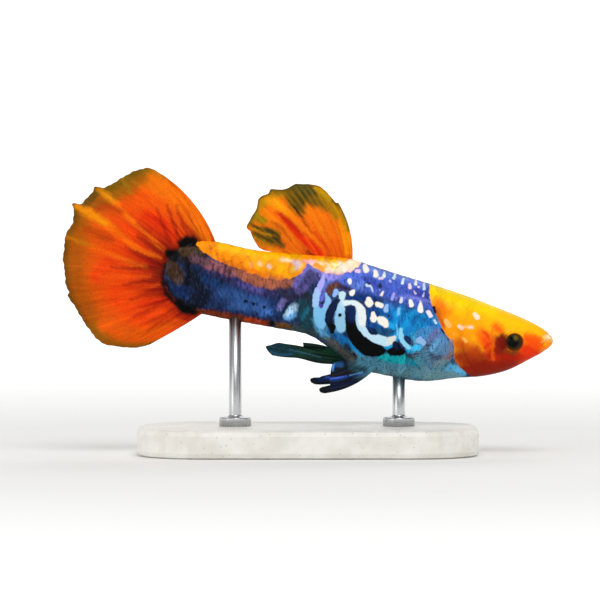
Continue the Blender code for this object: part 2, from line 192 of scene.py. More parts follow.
world.node_tree.nodes["Background"].inputs["Color"].default_value = linear("#ffffff")
bpy.context.scene.world = world
bpy.context.scene.view_settings.view_transform = "Standard"


# The skin: head, trunk and tail stalk in one piece, which on the real fish is thin clear scales over
# pigment. It is drawn round the same sections as the solid body, and closes to an edge that the tail fin's
# rays grow out of.

POSE_AT = (-11.44, 16.06)
NOSE_DOWN = math.radians(10.4)
SECTIONS = np.array(
    [
        # forwards, belly, back, half width, widest part's share of the height, fullness above and below
        (-1.60, -3.24, 3.25, 0.38, 0.50, 3.0, 3.0),
        (2.70, -3.25, 3.24, 0.76, 0.50, 2.5, 2.5),
        (6.20, -3.27, 3.10, 1.12, 0.50, 2.2, 2.2),
        (9.50, -3.26, 3.36, 1.45, 0.52, 2.2, 2.1),
        (12.30, -3.34, 3.66, 1.74, 0.54, 2.2, 2.0),
        (14.60, -4.28, 3.86, 1.97, 0.56, 2.2, 2.0),
        (17.00, -5.38, 3.55, 2.14, 0.57, 2.3, 2.0),
        (20.00, -5.62, 3.18, 2.30, 0.57, 2.3, 2.0),
        (23.00, -5.52, 2.84, 2.40, 0.57, 2.4, 2.0),
        (25.80, -4.72, 2.44, 2.38, 0.58, 2.5, 2.0),
        (28.20, -4.10, 1.99, 2.22, 0.60, 2.7, 2.0),
        (30.20, -3.18, 1.58, 1.98, 0.60, 2.8, 2.1),
        (31.90, -1.90, 1.12, 1.62, 0.58, 2.8, 2.2),
        (33.10, -0.90, 0.56, 1.06, 0.55, 2.4, 2.2),
        (33.58, -0.08, -0.08, 0.00, 0.50, 2.0, 2.0),
    ]
)
SNOUT = len(SECTIONS) - 1
SKIN_ROWS = 400
SKIN_SIDES = 236
SIDE_CROWDING = 0.22
SNOUT_CROWDING = 1.25
PLATE_CENTRE = (2.68, 0.04)
PLATE_REACH = 4.0
PLATE_RISE = 3.24
PLATE_ROUNDING = 1.6

EYE_AT = (30.09, -0.65)
EYE_RADIUS = 0.86
EYE_DEPTH = 0.66
EYE_SUNK = 0.28


def through(knots, at, after=None):
    """The Catmull-Rom curve through the knots, at places counted in knots from the first one.

    Between two knots it is the cubic whose slope at each is half the step between that knot's neighbours.
    """
    knots = np.asarray(knots, float)
    before = 2 * knots[0] - knots[1]
    if after is None:
        after = 2 * knots[-1] - knots[-2]
    row = np.vstack([before, knots, after])
    low = np.clip(np.floor(at).astype(int), 0, len(knots) - 2)
    t = (at - low)[..., None]
    p0, p1, p2, p3 = row[low], row[low + 1], row[low + 2], row[low + 3]
    straight = 2 * p1 + (p2 - p0) * t
    bend = (2 * p0 - 5 * p1 + 4 * p2 - p3) * t**2 + (3 * p1 - p0 - 3 * p2 + p3) * t**3
    return (straight + bend) / 2


def section(at):
    """The section's seven values at a place along SECTIONS. Past the snout the lips' are mirrored."""
    past_snout = SECTIONS[-2].copy()
    past_snout[1:3] = 2 * SECTIONS[-1, 1:3] - SECTIONS[-2, 1:3]
    past_snout[3] = -SECTIONS[-2, 3]
    return np.moveaxis(through(SECTIONS, at, past_snout), -1, 0)


def section_at(x):
    """The place along SECTIONS whose section lies at x."""
    steps = np.linspace(0, SNOUT, 4000)
    return np.interp(x, section(steps)[0], steps)


def bare_skin(at, angle):
    """A point of the smooth body. The angle turns from the right side over the back.

    Each section is a superellipse: the power sum of the across and up shares is one.
    """
    x, belly, back, half_width, widest, above, below = section(at)
    height = belly + widest * (back - belly)
    c, s = np.cos(angle), np.sin(angle)
    fullness = np.where(s > 0, above, below)
    out = (np.abs(c) ** fullness + np.abs(s) ** fullness) ** (-1 / fullness)
    half_height = np.where(s > 0, back - height, height - belly)
    return np.stack([x, -half_width * out * c, height + half_height * out * s], -1)


def flank(x, z):
    """Half the body's width at x and height z."""
    _, belly, back, half_width, widest, above, below = section(section_at(x))
    height = belly + widest * (back - belly)
    upper = z > height
    fullness = np.where(upper, above, below)
    share = np.abs(z - height) / np.where(upper, back - height, height - belly)
    return half_width * (1 - np.clip(share, 0, 1) ** fullness) ** (1 / fullness)


def underside(x, y=0.0):
    """The height of the belly at x, to the side of the keel by y."""
    _, belly, back, half_width, widest, _, below = section(section_at(x))
    height = belly + widest * (back - belly)
    return height - (height - belly) * (1 - np.abs(y / half_width) ** below) ** (1 / below)


def posed(points):
    """Points of the level fish, tipped nose down about the cross axis and set over the base."""
    x, y, z = points[..., 0], points[..., 1], points[..., 2]
    c, s = math.cos(NOSE_DOWN), math.sin(NOSE_DOWN)
    return np.stack([POSE_AT[0] + x * c + z * s, y, POSE_AT[1] - x * s + z * c], -1)


def facing(grid):
    """Unit normals of a grid of points: the cross product of its two lines through each."""
    along, around = np.gradient(grid, axis=0), np.gradient(grid, axis=1)
    normal = np.cross(along, around)
    return normal / np.maximum(np.linalg.norm(normal, axis=-1, keepdims=True), 1e-9)


def bump(distance, width):
    """A bell: one at no distance, and an e-th at one width."""
    return np.exp(-((distance / width) ** 2))


def step(value, low, high):
    """A smooth step from nought at low to one at high."""
    t = np.clip((value - low) / (high - low), 0, 1)
    return t * t * (3 - 2 * t)


def path_distance(x, z, path):
    """How far each point of the side view is from a path of straight lines."""
    nearest = np.full(np.shape(x), np.inf)
    for (x0, z0), (x1, z1) in zip(path[:-1], path[1:]):
        run, lift = x1 - x0, z1 - z0
        share = np.clip(((x - x0) * run + (z - z0) * lift) / (run**2 + lift**2), 0, 1)
        nearest = np.minimum(nearest, np.hypot(x - x0 - share * run, z - z0 - share * lift))
    return nearest


# Even steps round the body, but closer together on the flanks, where the section is tall.
around = np.radians(-90 + 360 * np.arange(SKIN_SIDES) / SKIN_SIDES)
angle = around - SIDE_CROWDING * np.sin(2 * around)
share = 1 - (1 - np.linspace(0, 1, SKIN_ROWS)[:, None]) ** SNOUT_CROWDING
plate_height = bare_skin(np.zeros(angle.shape), angle)[:, 2]
plate_share = np.clip((plate_height - PLATE_CENTRE[1]) / PLATE_RISE, -1, 1)
rear_x = PLATE_CENTRE[0] - PLATE_REACH * np.sqrt(1 - plate_share**2)
row_at = section_at(rear_x + (SECTIONS[-1, 0] - rear_x) * share)
angle = np.broadcast_to(angle, row_at.shape)
level = bare_skin(row_at, angle)
inside = np.clip((level[..., 0] - rear_x) / PLATE_ROUNDING, 0, 1)
level[..., 1] *= np.sqrt(1 - (1 - inside) ** 2)
wrapped = np.concatenate([level[:, -1:], level, level[:, :1]], 1)
outward = facing(wrapped)[:, 1:-1]
x, z = level[..., 0], level[..., 2]

# Scales: each is a shingle whose round rear edge stands out over the next one. Going round the body, every
# second row is set half a scale forwards. Height falls in a straight line from the edge forwards.
SCALE_LENGTH = 1.0
SCALE_ROWS = 26
SCALE_ROUND = 0.55
SCALE_CURVE = 0.98
SCALE_RISE = 0.050
HEAD_SCALE_SHARE = 0.15

lane = (around[None, :] / (2 * math.pi) + 0.25) * SCALE_ROWS


def rear_edge(off_middle):
    """How far back a scale reaches: a flat ellipse over the share of half its width off its middle."""
    return SCALE_ROUND * np.sqrt(1 - SCALE_CURVE * off_middle**2)


scale_place, scale_side = [], []
for odd in (0, 1):
    off_middle = (lane - odd + 1) % 2 - 1
    scale_place.append((x / SCALE_LENGTH + rear_edge(off_middle) + odd / 2) % 1)
    scale_side.append(off_middle + 0 * x)
upper_one = scale_place[1] < scale_place[0]
from_edge = np.where(upper_one, scale_place[1], scale_place[0])
off_middle = np.where(upper_one, scale_side[1], scale_side[0])
# Each scale has its own shade from nought to one: the fraction left by a large multiple of a sine.
scale_number = np.floor(x / SCALE_LENGTH + rear_edge(off_middle) + upper_one / 2) * 37
scale_number += np.round(lane - off_middle) * 101 + upper_one
scale_tint = np.modf(np.abs(np.sin(scale_number * 12.9898)) * 43758.5453)[0]

GILL_OPENING = 25.55
GILL_TOP_LEAN = 1.2
GILL_THROAT_LEAN = 2.4
gill_x = GILL_OPENING + np.where(np.sin(angle) > 0, GILL_TOP_LEAN, GILL_THROAT_LEAN) * np.sin(angle) ** 2
behind_gill = x - gill_x
scaled = 1 - (1 - HEAD_SCALE_SHARE) * step(x - gill_x, -0.6, 0.6)
scaled *= step(SECTIONS[-1, 0] - x, 1.5, 4.0) * step(x - rear_x, 0.0, 2.0) * (1 - 0.6 * step(x, 21.5, 24.0))
lift = SCALE_RISE * scaled * (1 - from_edge)

# The head's own relief: the gill cover's step and its groove, the cheek's groove, the rim and the cup of the
# eye, the lips with the slit of the mouth between them, and the nostrils. Each group of rings gives a ring's
# height, how far off it lies, and its width.
GILL_STEP = 0.11
GILL_STEP_WIDTH = 0.8
GILL_GROOVE = 0.04
CHEEK_ARC_AT = (30.3, -0.9)
CHEEK_RINGS = ((-0.08, 2.0, 0.16), (0.05, 2.3, 0.25))
CHEEK_FRONT = 29.9
ORBIT_RINGS = ((0.07, 0.92, 0.14), (-0.05, 1.32, 0.18), (0.03, 1.62, 0.18))
EYE_CUP = 0.55
MOUTH_LINE = [(33.80, 0.16), (33.30, 0.08), (32.93, -0.06), (32.72, -0.32), (32.62, -0.62)]
LIP_RINGS = ((0.06, 0.20, 0.12), (-0.10, 0.0, 0.06), (-0.04, 0.46, 0.12))
NOSTRILS = ((31.75, 58.0), (32.30, 52.0))
NOSTRIL_RINGS = ((0.04, 0.20, 0.07), (-0.13, 0.0, 0.10))


def rings(distance, group):
    """The sum of a group's bells, at each distance from what they surround."""
    return sum(height * bump(distance - off, width) for height, off, width in group)


lift += GILL_STEP * np.sign(behind_gill) * bump(behind_gill, GILL_STEP_WIDTH) * np.cos(angle) ** 2
lift -= GILL_GROOVE * bump(behind_gill + 0.08, 0.12) * np.cos(angle) ** 2
from_cheek = np.hypot(x - CHEEK_ARC_AT[0], z - CHEEK_ARC_AT[1])
lift += rings(from_cheek, CHEEK_RINGS) * step(CHEEK_FRONT - x, -0.3, 0.6)
from_eye = np.hypot(x - EYE_AT[0], z - EYE_AT[1])
lift += rings(from_eye, ORBIT_RINGS) - EYE_CUP * (1 - step(from_eye, 0.58, 0.72))
from_slit = path_distance(x, z, MOUTH_LINE)
lift += rings(from_slit, LIP_RINGS) * step(SECTIONS[-1, 0] - x, 0.02, 0.40)
for nostril_x, nostril_angle in NOSTRILS:
    for turned in (nostril_angle, 180 - nostril_angle):
        spot = bare_skin(section_at(np.array([nostril_x])), np.radians([turned]))[0]
        lift += rings(np.linalg.norm(level - spot, axis=-1), NOSTRIL_RINGS)

skin_level = level + outward * lift[..., None]
skin_points = posed(skin_level)


# The fish's colours: pigment under the scales, with some painted light and shade among it, in washes with
# soft edges and marks with firm ones. Each is a row of discs strung on a smooth line, placed where the
# photograph shows it. The left side carries the same marks a little displaced.

PIXEL = 0.088
PHOTO_MIDDLE = 300.0
LEFT_SHIFT = 2.2
EDGE_RAGGED = 1.1
PALE_BLEND = 0.9
# How dark the ridge of the back is painted: its own dark line and painted shade on the lit top.
RIDGE_LINE_AND_SHADE = 0.30


def seen(points):
    """Where the camera sees a point, in the photograph's pixels. A point on the left is mirrored first."""
    x, y, z = points[..., 0], -np.abs(points[..., 1]), points[..., 2] - VIEW_CENTRE[1]
    depth = VIEW_DISTANCE + y * math.cos(rise) - z * math.sin(rise)
    up = z * math.cos(rise) + y * math.sin(rise)
    across = (x - VIEW_CENTRE[0]) * VIEW_DISTANCE / depth
    return PHOTO_MIDDLE + across / PIXEL, PHOTO_MIDDLE - up * VIEW_DISTANCE / depth / PIXEL


def stroke(u, v, knots):
    """How deep inside a brush stroke each place is, in pixels, and below nought outside it.

    The stroke is the union of discs along the smooth curve through its knots, each across, down, radius.
    """
    knots = np.asarray(knots, float)
    if len(knots) == 1:
        discs = knots
    else:
        discs = through(knots, np.linspace(0, len(knots) - 1, 6 * len(knots)))
    depth = np.full(np.shape(u), -1e3)
    for across, down, radius in discs:
        depth = np.maximum(depth, radius - np.hypot(u - across, v - down))
    return depth


def laid_over(ground, colour, cover):
    """The ground's colours with another over them, where the cover goes from nought to one."""
    cover = cover[..., None]
    return ground * (1 - cover) + np.asarray(colour) * cover


def all_over(code, u):
    """One colour, from its hex code, at every place."""
    return np.broadcast_to(np.array(linear(code)), (*np.shape(u), 4))


def painted(ground, u, v, washes):
    """Lays each wash over the ground in turn: its hex colour, how soft its edge is, and its knots."""
    for code, soft, *knots in washes:
        ground = laid_over(ground, linear(code), step(stroke(u, v, knots), -soft / 2, soft / 2))
    return ground


def deepest(u, v, marks):
    """The depth inside the nearest of several marks, in millimetres."""
    return np.max([stroke(u, v, knots) for knots in marks], axis=0) * PIXEL


def ragged(u, v, size):
    """Places moved by up to about size pixels, so that what is painted there has uneven edges.

    Each axis is moved by three sine waves that cross each other. The longest is eleven pixels from crest to
    crest.
    """
    over = np.sin(0.52 * u + 0.31 * v) + 0.7 * np.sin(0.9 * v - 0.8 * u + 1.1)
    over = over + 0.6 * np.sin(1.9 * u + 1.3 * v + 2.0)
    down = np.sin(0.28 * v - 0.49 * u) + 0.7 * np.sin(1.1 * u + 0.7 * v + 0.6)
    down = down + 0.6 * np.sin(2.1 * v - 1.2 * u + 4.0)
    return u + over * size / 2, v + down * size / 2


u, v = seen(skin_points)
left = step(skin_points[..., 1], 0.2, 1.2)
u = u + left * LEFT_SHIFT * np.sin(v / 11 + 1.3)
v = v + left * LEFT_SHIFT * np.sin(u / 13 + 0.4)

TRUNK_WASHES = [
    # back, from the dorsal fin to the head
    ("#4a66cc", 10, (300, 262, 14), (345, 272, 15), (390, 285, 14), (440, 300, 14)),
    ("#3f56b8", 8, (345, 284, 7), (380, 286, 6), (430, 296, 6)),
    ("#6f86de", 6, (362, 268, 3), (395, 275, 3), (425, 283, 3)),
    ("#3344a4", 5, (366, 281, 5), (374, 283, 4)),
    ("#3340a2", 4, (416, 293, 4), (426, 297, 4)),
    ("#7c82e4", 4, (394, 298, 2), (412, 298, 2), (428, 302, 2)),
    ("#2f5caa", 5, (385, 305, 4), (405, 309, 4), (424, 320, 4)),
    ("#4a68d0", 5, (404, 301, 3), (418, 304, 3)),
    # cyan flank
    ("#0e82c8", 10, (390, 322, 14), (415, 325, 15), (438, 326, 10)),
    ("#0c98dc", 4, (392, 326, 3), (397, 315, 3), (401, 308, 1.5)),
    ("#1262ac", 3, (398, 326, 1.6), (404, 314, 1.8), (408, 309, 1)),
    ("#109ade", 3, (403, 329, 1.6), (410, 316, 1.8), (414, 311, 1)),
    ("#1270ba", 3, (409, 330, 1.6), (415, 319, 1.6), (419, 313, 1)),
    ("#0f92d6", 3, (413, 334, 1.6), (420, 321, 1.8), (424, 316, 1)),
    ("#1268b0", 4, (422, 320, 2), (428, 322, 2.5), (436, 328, 3)),
    ("#0d86cc", 4, (416, 338, 2), (424, 328, 3), (431, 331, 3)),
    ("#36b6e2", 3, (411, 333, 1.3), (416, 341, 1.3)),
    ("#0ab3eb", 5, (409, 349, 3), (416, 348, 4), (421, 346, 2)),
    # belly: slate blue, partly its own colour and partly painted shade under the body
    ("#4a8298", 10, (350, 362, 8), (380, 368, 8), (415, 372, 8), (455, 372, 9)),
    ("#45788a", 8, (345, 362, 5), (365, 369, 4), (392, 376, 3)),
    ("#3a5d6c", 5, (390, 379, 2.5), (430, 383, 3), (462, 377, 2)),
    ("#6c98a4", 7, (425, 376, 4), (445, 375, 5), (458, 376, 4)),
    ("#5c8c9c", 6, (385, 372, 3), (405, 374, 4), (420, 372, 4)),
    ("#468198", 6, (355, 350, 4), (366, 360, 4), (382, 363, 4)),
    ("#0e70b8", 5, (334, 334, 4), (343, 341, 5), (352, 347, 3)),
    ("#0e8bd0", 4, (350, 340, 2), (356, 347, 3), (362, 353, 2)),
    ("#0aa0a8", 3, (380, 357, 3), (392, 358, 5), (402, 359, 5)),
    ("#1288a0", 4, (411, 362, 4), (419, 361, 5)),
    ("#25454d", 3, (411, 357, 2.2), (415, 357, 1.6)),
    ("#2c6e92", 6, (424, 352, 4), (428, 362, 4)),
    # under the clear pectoral fin, up to the gill cover
    ("#4f86bc", 8, (434, 338, 6), (444, 345, 7), (450, 354, 5)),
    ("#5869aa", 5, (431, 338, 3), (438, 331, 3)),
    ("#5aacde", 4, (432, 349, 3), (438, 341, 2)),
    ("#4680a8", 5, (436, 352, 3), (447, 347, 3)),
    ("#5d7f8c", 5, (438, 364, 4), (448, 360, 3)),
    ("#785a58", 4, (446, 359, 1.5), (451, 354, 3)),
    ("#5ab0e0", 4, (448, 369, 2), (455, 368, 4), (464, 373, 3)),
    # keel from the anal fin to the pelvic fins
    ("#2f4448", 5, (296, 328, 4), (318, 332, 5), (338, 348, 6), (352, 360, 5)),
    ("#50504c", 4, (326, 338, 2.5), (340, 349, 3), (352, 359, 2.5)),
    ("#1c2224", 3, (346, 346, 2), (350, 350, 1.5)),
    ("#231a18", 3, (353, 354, 1.5), (356, 357, 1.8)),
    # rear flank: dark teal, a pale bar with violet in it, and violet under the dorsal fin
    ("#163c48", 6, (304, 300, 7), (306, 318, 8), (310, 326, 4)),
    ("#19637b", 4, (302, 318, 2), (307, 310, 2.5)),
    ("#1b2433", 5, (306, 295, 5), (311, 300, 3)),
    ("#2a2744", 5, (280, 291, 4), (290, 295, 6), (300, 292, 5)),
    ("#4c4880", 5, (300, 288, 6), (308, 277, 8), (318, 276, 4)),
    ("#6a64b4", 4, (296, 284, 3), (304, 272, 3), (309, 265, 2)),
    ("#7d78c8", 3, (313, 267, 2), (320, 273, 2)),
    ("#5f7cd4", 4, (326, 280, 4), (326, 292, 4)),
    ("#2a3b62", 4, (328, 300, 3), (334, 300, 3)),
    ("#9a92ee", 4, (322, 274, 3), (330, 277, 3), (342, 276, 3)),
    ("#5570dc", 4, (343, 279, 4), (354, 278, 3)),
    ("#5f7fd8", 5, (352, 287, 4), (362, 285, 4)),
    ("#0c3478", 4, (346, 299, 3.5), (356, 298, 3.5), (366, 298, 3.5), (375, 299, 3)),
    ("#5a3c46", 4, (329, 290, 3), (334, 285, 3.5), (342, 287, 3)),
    ("#6a3c30", 3, (329, 294, 2.2), (331, 288, 2.4), (337, 285, 1.6)),
    ("#32284a", 3, (341, 287, 2), (349, 289, 2.4)),
    ("#2a4470", 4, (330, 298, 2.5), (336, 297, 2)),
    ("#6aa8d8", 4, (337, 306, 4), (341, 318, 6), (340, 328, 5)),
    ("#5aa4d4", 6, (320, 320, 7), (323, 330, 5), (328, 336, 2)),
    ("#6468d0", 3, (322.5, 285, 1.5), (322, 293, 2.6), (321.5, 300, 2)),
    ("#15528c", 5, (330, 332, 3), (336, 336, 3)),
    # inside the swirl
    ("#0c3c80", 5, (368, 309, 5), (380, 314, 4)),
    ("#0f62b4", 5, (380, 310, 3), (392, 318, 3)),
    ("#10509c", 4, (368, 318, 4), (372, 327, 5), (382, 330, 5)),
    ("#144c76", 4, (376, 331, 3), (386, 332, 3.5), (393, 331, 3)),
    ("#12a4e4", 3, (386, 347, 3), (391, 345, 3), (398, 334, 2)),
    ("#0fa0e0", 3, (380, 317, 1.5), (389, 323, 2), (393, 328, 1.5)),
]
STALK_WASHES = [
    ("#14264c", 8, (170, 285, 24), (200, 288, 24), (240, 297, 22), (270, 304, 18), (285, 305, 14)),
    ("#1b3568", 8, (228, 297, 10), (250, 303, 10), (270, 308, 8)),
    ("#2c4f88", 6, (232, 305, 4), (250, 307, 4), (266, 309, 4)),
    ("#3563a8", 4, (262, 313, 3), (270, 312, 3)),
    ("#0a1226", 6, (190, 300, 8), (205, 298, 6), (192, 275, 7)),
    ("#0c2858", 4, (178, 287, 4), (186, 295, 4)),
    ("#0f3260", 4, (205, 280, 4), (220, 284, 4)),
    ("#2c2a58", 6, (205, 268, 4), (228, 277, 5), (255, 290, 5), (275, 293, 4)),
    ("#58699e", 3, (279, 309, 2.5), (284, 299, 3)),
    ("#7468ac", 4, (280, 306, 2), (284, 300, 2.4)),
    ("#4a4484", 4, (240, 284, 3), (262, 291, 3)),
    # rust and violet under the orange back, with black stripes at its rear
    ("#8a5058", 5, (206, 263, 5), (218, 267, 5), (232, 272, 5)),
    ("#94543e", 5, (238, 270, 5), (252, 277, 7), (270, 282, 6), (286, 284, 5), (297, 280, 3)),
    ("#a0583c", 4, (247, 277, 5), (262, 282, 5), (280, 286, 4)),
    ("#141024", 2.5, (213, 264, 0.8), (211, 274, 1.0)),
    ("#141024", 2.5, (219, 266, 0.9), (217, 279, 1.1)),
    ("#141024", 2.5, (225, 267, 1.1), (222, 282, 1.2)),
    ("#141024", 2.5, (231, 270, 0.9), (228, 282, 1.0)),
    # brown round the root of the tail fin, with black blotches
    ("#1c1420", 6, (178, 252, 10), (190, 254, 10), (202, 258, 6)),
    ("#3e2816", 6, (170, 264, 6), (175, 273, 8), (179, 280, 5)),
    ("#46301a", 6, (180, 251, 6), (190, 249, 8), (200, 251, 5)),
    ("#6a4650", 5, (194, 259, 3.5), (206, 262, 3.5)),
    ("#04060c", 3, (188, 259, 1.8), (187.5, 270, 2.8), (187, 284, 2.4)),
    ("#0c0e18", 4, (165, 284, 4), (168, 294, 4), (177, 303, 5)),
    ("#020203", 3, (168, 253, 5), (174, 256, 6), (177, 257, 3)),
    ("#020203", 3, (180, 241, 5), (189, 242, 5), (197, 243, 2.6)),
    ("#0a0808", 4, (163, 262, 2.5), (161, 276, 3), (163, 288, 3)),
    ("#020203", 4, (178, 304, 5), (189, 310, 6), (196, 309, 4)),
    # rust along the keel
    ("#56200c", 3, (197, 312, 3), (215, 314, 4), (240, 319, 4.5), (268, 325, 4.5)),
    ("#7c2c08", 2.5, (203, 311, 2), (228, 317, 2)),
    ("#a03408", 2.5, (247, 320, 3.2), (264, 324, 3.2)),
    ("#6a4410", 3, (277, 325, 3), (290, 327, 2.5), (298, 329, 1.5)),
    ("#050302", 2.5, (272, 320, 1.5), (272, 325, 2.5)),
    # a pale blue fan before the dark teal
    ("#5f9fd8", 4, (285, 318, 1.5), (291, 316, 3.5), (297, 312, 3)),
    ("#a8cce8", 3, (285, 315.5, 1.2), (289.5, 311.5, 3.4), (294, 307, 4.0)),
    ("#2c4f8a", 14, (222, 293, 3), (240, 298, 4), (262, 304, 3)),
]
ground = painted(all_over("#223258", u), *ragged(u, v, EDGE_RAGGED), STALK_WASHES + TRUNK_WASHES)

# Orange along the back of the stalk, with a slanted front end, and the cream saddle under the dorsal fin.
SADDLE = [
    (201, 244, 4), (207, 246, 7), (216, 247, 11), (228, 250, 14), (245, 253, 17), (262, 256, 20),
    (278, 259, 21), (289, 260, 18),
]
SADDLE_FRONT = [(311, 250), (308, 262), (304, 272), (300, 281), (296, 292)]
SADDLE_WASHES = [
    ("#fd9206", 6, (160, 240, 30), (230, 255, 40), (300, 260, 30)),
    ("#e8780c", 6, (218, 262, 3), (240, 269, 4), (262, 275, 4), (282, 280, 3)),
    ("#ffa408", 6, (250, 262, 5), (270, 267, 6), (290, 272, 6)),
    ("#fdb404", 8, (222, 244, 5), (240, 248, 7), (270, 253, 7), (300, 257, 5)),
    ("#c8703c", 5, (268, 279, 3), (286, 282, 3.5), (298, 280, 2)),
    ("#f6c050", 3, (294, 270, 3), (301, 265, 3)),
    ("#ecc8d0", 3, (293, 261.5, 2), (298, 264.5, 3), (296, 268, 1.4)),
    ("#f4d0a8", 2.5, (281, 259, 1.5), (288, 261, 1.6)),
    ("#f4ccb0", 2, (269, 265, 1.9), (269.5, 268, 1.3)),
    ("#f4c090", 2, (259.5, 262.5, 1.2), (260.5, 265, 1.2)),
    ("#f4b080", 2, (251, 263.5, 1.2), (251.5, 267, 1.2)),
    ("#b04c0c", 2, (210, 246, 0.7), (212, 258, 1.0)),
    ("#b0480a", 2, (216, 250, 0.7), (219, 264, 1.0)),
    ("#c0500a", 2, (223, 256, 0.7), (226, 267, 0.9)),
    ("#b84c10", 2, (231, 258, 0.7), (235, 272, 0.9)),
    ("#c8540c", 2, (241, 262, 0.7), (245, 273, 0.9)),
    ("#d0600c", 2, (248, 256, 0.6), (254, 270, 0.8)),
]
CREAM_SADDLE = [
    (303, 258, 2.5), (312, 258, 6), (322, 258, 12.5), (334, 258, 16.5), (344, 256, 17), (352, 254, 12),
    (361, 256, 5),
]
CREAM_WASHES = [
    ("#f6dcb8", 6, (300, 256, 40), (350, 256, 40)),
    ("#e4b8cc", 4, (318, 272, 2), (330, 275, 2.5), (342, 275, 2.5), (350, 270, 1.5)),
    ("#fbe8c8", 4, (336, 268, 4), (343, 266, 5), (350, 262, 4)),
    ("#fdf4dc", 3, (341, 266, 2.5), (344, 270, 2.5)),
    ("#e8c4b4", 3, (322, 272, 1.5), (330, 273, 1.5)),
    ("#ff9a20", 3, (315, 264, 2.2), (320, 267, 3.2), (323, 270, 2.0)),
    ("#fdb418", 2.5, (323, 261, 1.4), (326, 267, 1.4)),
    ("#fcc424", 2, (328, 260, 1.0), (333, 268, 1.1)),
    ("#fad430", 2, (333, 259, 1.0), (338, 267, 1.0)),
    ("#fbd86c", 2, (340, 259, 0.9), (345, 262, 0.9)),
    ("#d8a8c8", 3, (302, 261, 2.5), (312, 262, 1.8)),
    # the dorsal fin's fleshy foot
    ("#fd9008", 3, (290, 250, 8.5), (312, 250, 10.5), (332, 250, 11.5), (351, 250, 10.0)),
    ("#fdb818", 2.5, (318, 259.5, 1.2), (332, 260.5, 1.4), (346, 259, 1.2)),
]

# Head: yellow above, orange behind the eye, deep red on the cheek and throat, with pale spots. The change
# from yellow above to red below is partly its own colour and partly painted light and shade from above.
HEAD_EDGE = [
    (429.5, 270), (429.2, 290), (430.5, 301), (434, 309), (437.5, 318), (441, 326), (446, 335), (451.5, 341),
    (454, 348), (454, 357), (457, 364), (463, 370), (472, 377), (484, 386),
]
HEAD_WASHES = [
    ("#fda006", 12, (400, 320, 60), (500, 330, 80)),
    # yellow along the top of the head: partly its own colour, partly painted light from above
    ("#fdb804", 14, (425, 284, 22), (460, 298, 20), (495, 312, 18), (530, 324, 12)),
    ("#fcd403", 10, (430, 276, 13), (455, 287, 16), (490, 301, 14), (512, 311, 9)),
    ("#fdc204", 10, (505, 316, 9), (524, 322, 8), (536, 328, 5)),
    ("#fd8006", 10, (438, 304, 5), (445, 312, 6), (446, 318, 4)),
    ("#d0600a", 5, (435, 308, 2.5), (439, 318, 3.5), (444, 328, 3), (447, 334, 2)),
    ("#fda806", 8, (452, 320, 6), (463, 323, 6), (478, 325, 6)),
    ("#fb9a08", 8, (450, 330, 5), (462, 336, 6), (474, 338, 5)),
    ("#fdb206", 5, (474.5, 338, 3)),
    ("#fdb206", 5, (489.5, 328.5, 3)),
    ("#fa7406", 10, (482, 334, 6), (488, 340, 6), (490, 350, 5)),
    ("#f25006", 8, (485, 341, 5), (489, 348, 4)),
    ("#dc3c06", 4, (484, 332, 1.2), (488, 336, 2), (490, 339, 1.4)),
    ("#d43406", 4, (486, 347, 1.6), (490, 344, 1.6)),
    ("#fb6a06", 7, (496, 326, 4), (500, 331, 3.5)),
    ("#d8600a", 8, (458, 344, 5), (466, 347, 5), (476, 349, 4)),
    ("#a43408", 10, (461, 358, 8), (472, 358, 8)),
    ("#b84008", 8, (476, 353, 5), (482, 356, 4)),
    ("#8e1c04", 12, (464, 372, 9), (485, 368, 12), (505, 366, 10), (515, 362, 7)),
    ("#8e1a04", 8, (497, 353, 5), (508, 357, 5)),
    ("#781203", 8, (472, 381, 7), (488, 383, 9), (502, 379, 7), (512, 375, 4)),
    ("#b82406", 8, (489, 355, 5), (497, 357, 5)),
    ("#a81c04", 10, (508, 356, 6), (518, 357, 6)),
    ("#cc2604", 9, (523, 358, 5), (531, 356, 5)),
    ("#a81804", 7, (514, 373, 4), (523, 368, 4), (530, 364, 3)),
    ("#e03004", 9, (526, 350, 5), (534, 351, 6), (539, 354, 4)),
    ("#f84e06", 9, (529, 341, 5), (537, 343, 6)),
    ("#fb7806", 7, (541, 346, 4), (546, 349, 3)),
    ("#fdbc08", 7, (524, 330, 3), (532, 330, 3.5), (541, 332, 3)),
    ("#f89006", 4, (525.5, 334, 1.6), (526, 343, 1.6)),
    ("#8a1c04", 6, (498, 341, 5), (500, 349, 6)),
    ("#701204", 5, (503, 337, 4), (504, 346, 5)),
    ("#843806", 5, (506, 351, 1.6), (513, 352.5, 2.0), (519, 351, 1.2)),
    ("#f46008", 4, (492.3, 328, 0.9), (492.5, 345, 1.1), (493.2, 359, 0.9)),
    ("#fd9a0a", 4, (546, 344, 2.5), (551, 343, 2.5)),
    ("#f8d48c", 3, (545, 337, 2.0), (549.5, 338.5, 2.4), (551.5, 340, 1.2)),
    ("#fce8cc", 2, (548, 337, 1.4), (549.5, 338.5, 1.2)),
    ("#f8c468", 2.5, (541.5, 342.5, 0.8), (545, 339, 1.0)),
    ("#fc7004", 10, (528, 336, 3), (534, 340, 4)),
    ("#fa5004", 9, (527, 339, 3), (533, 343, 5), (537, 345, 4)),
    ("#ec3404", 8, (524, 349, 4), (531, 352, 4)),
]

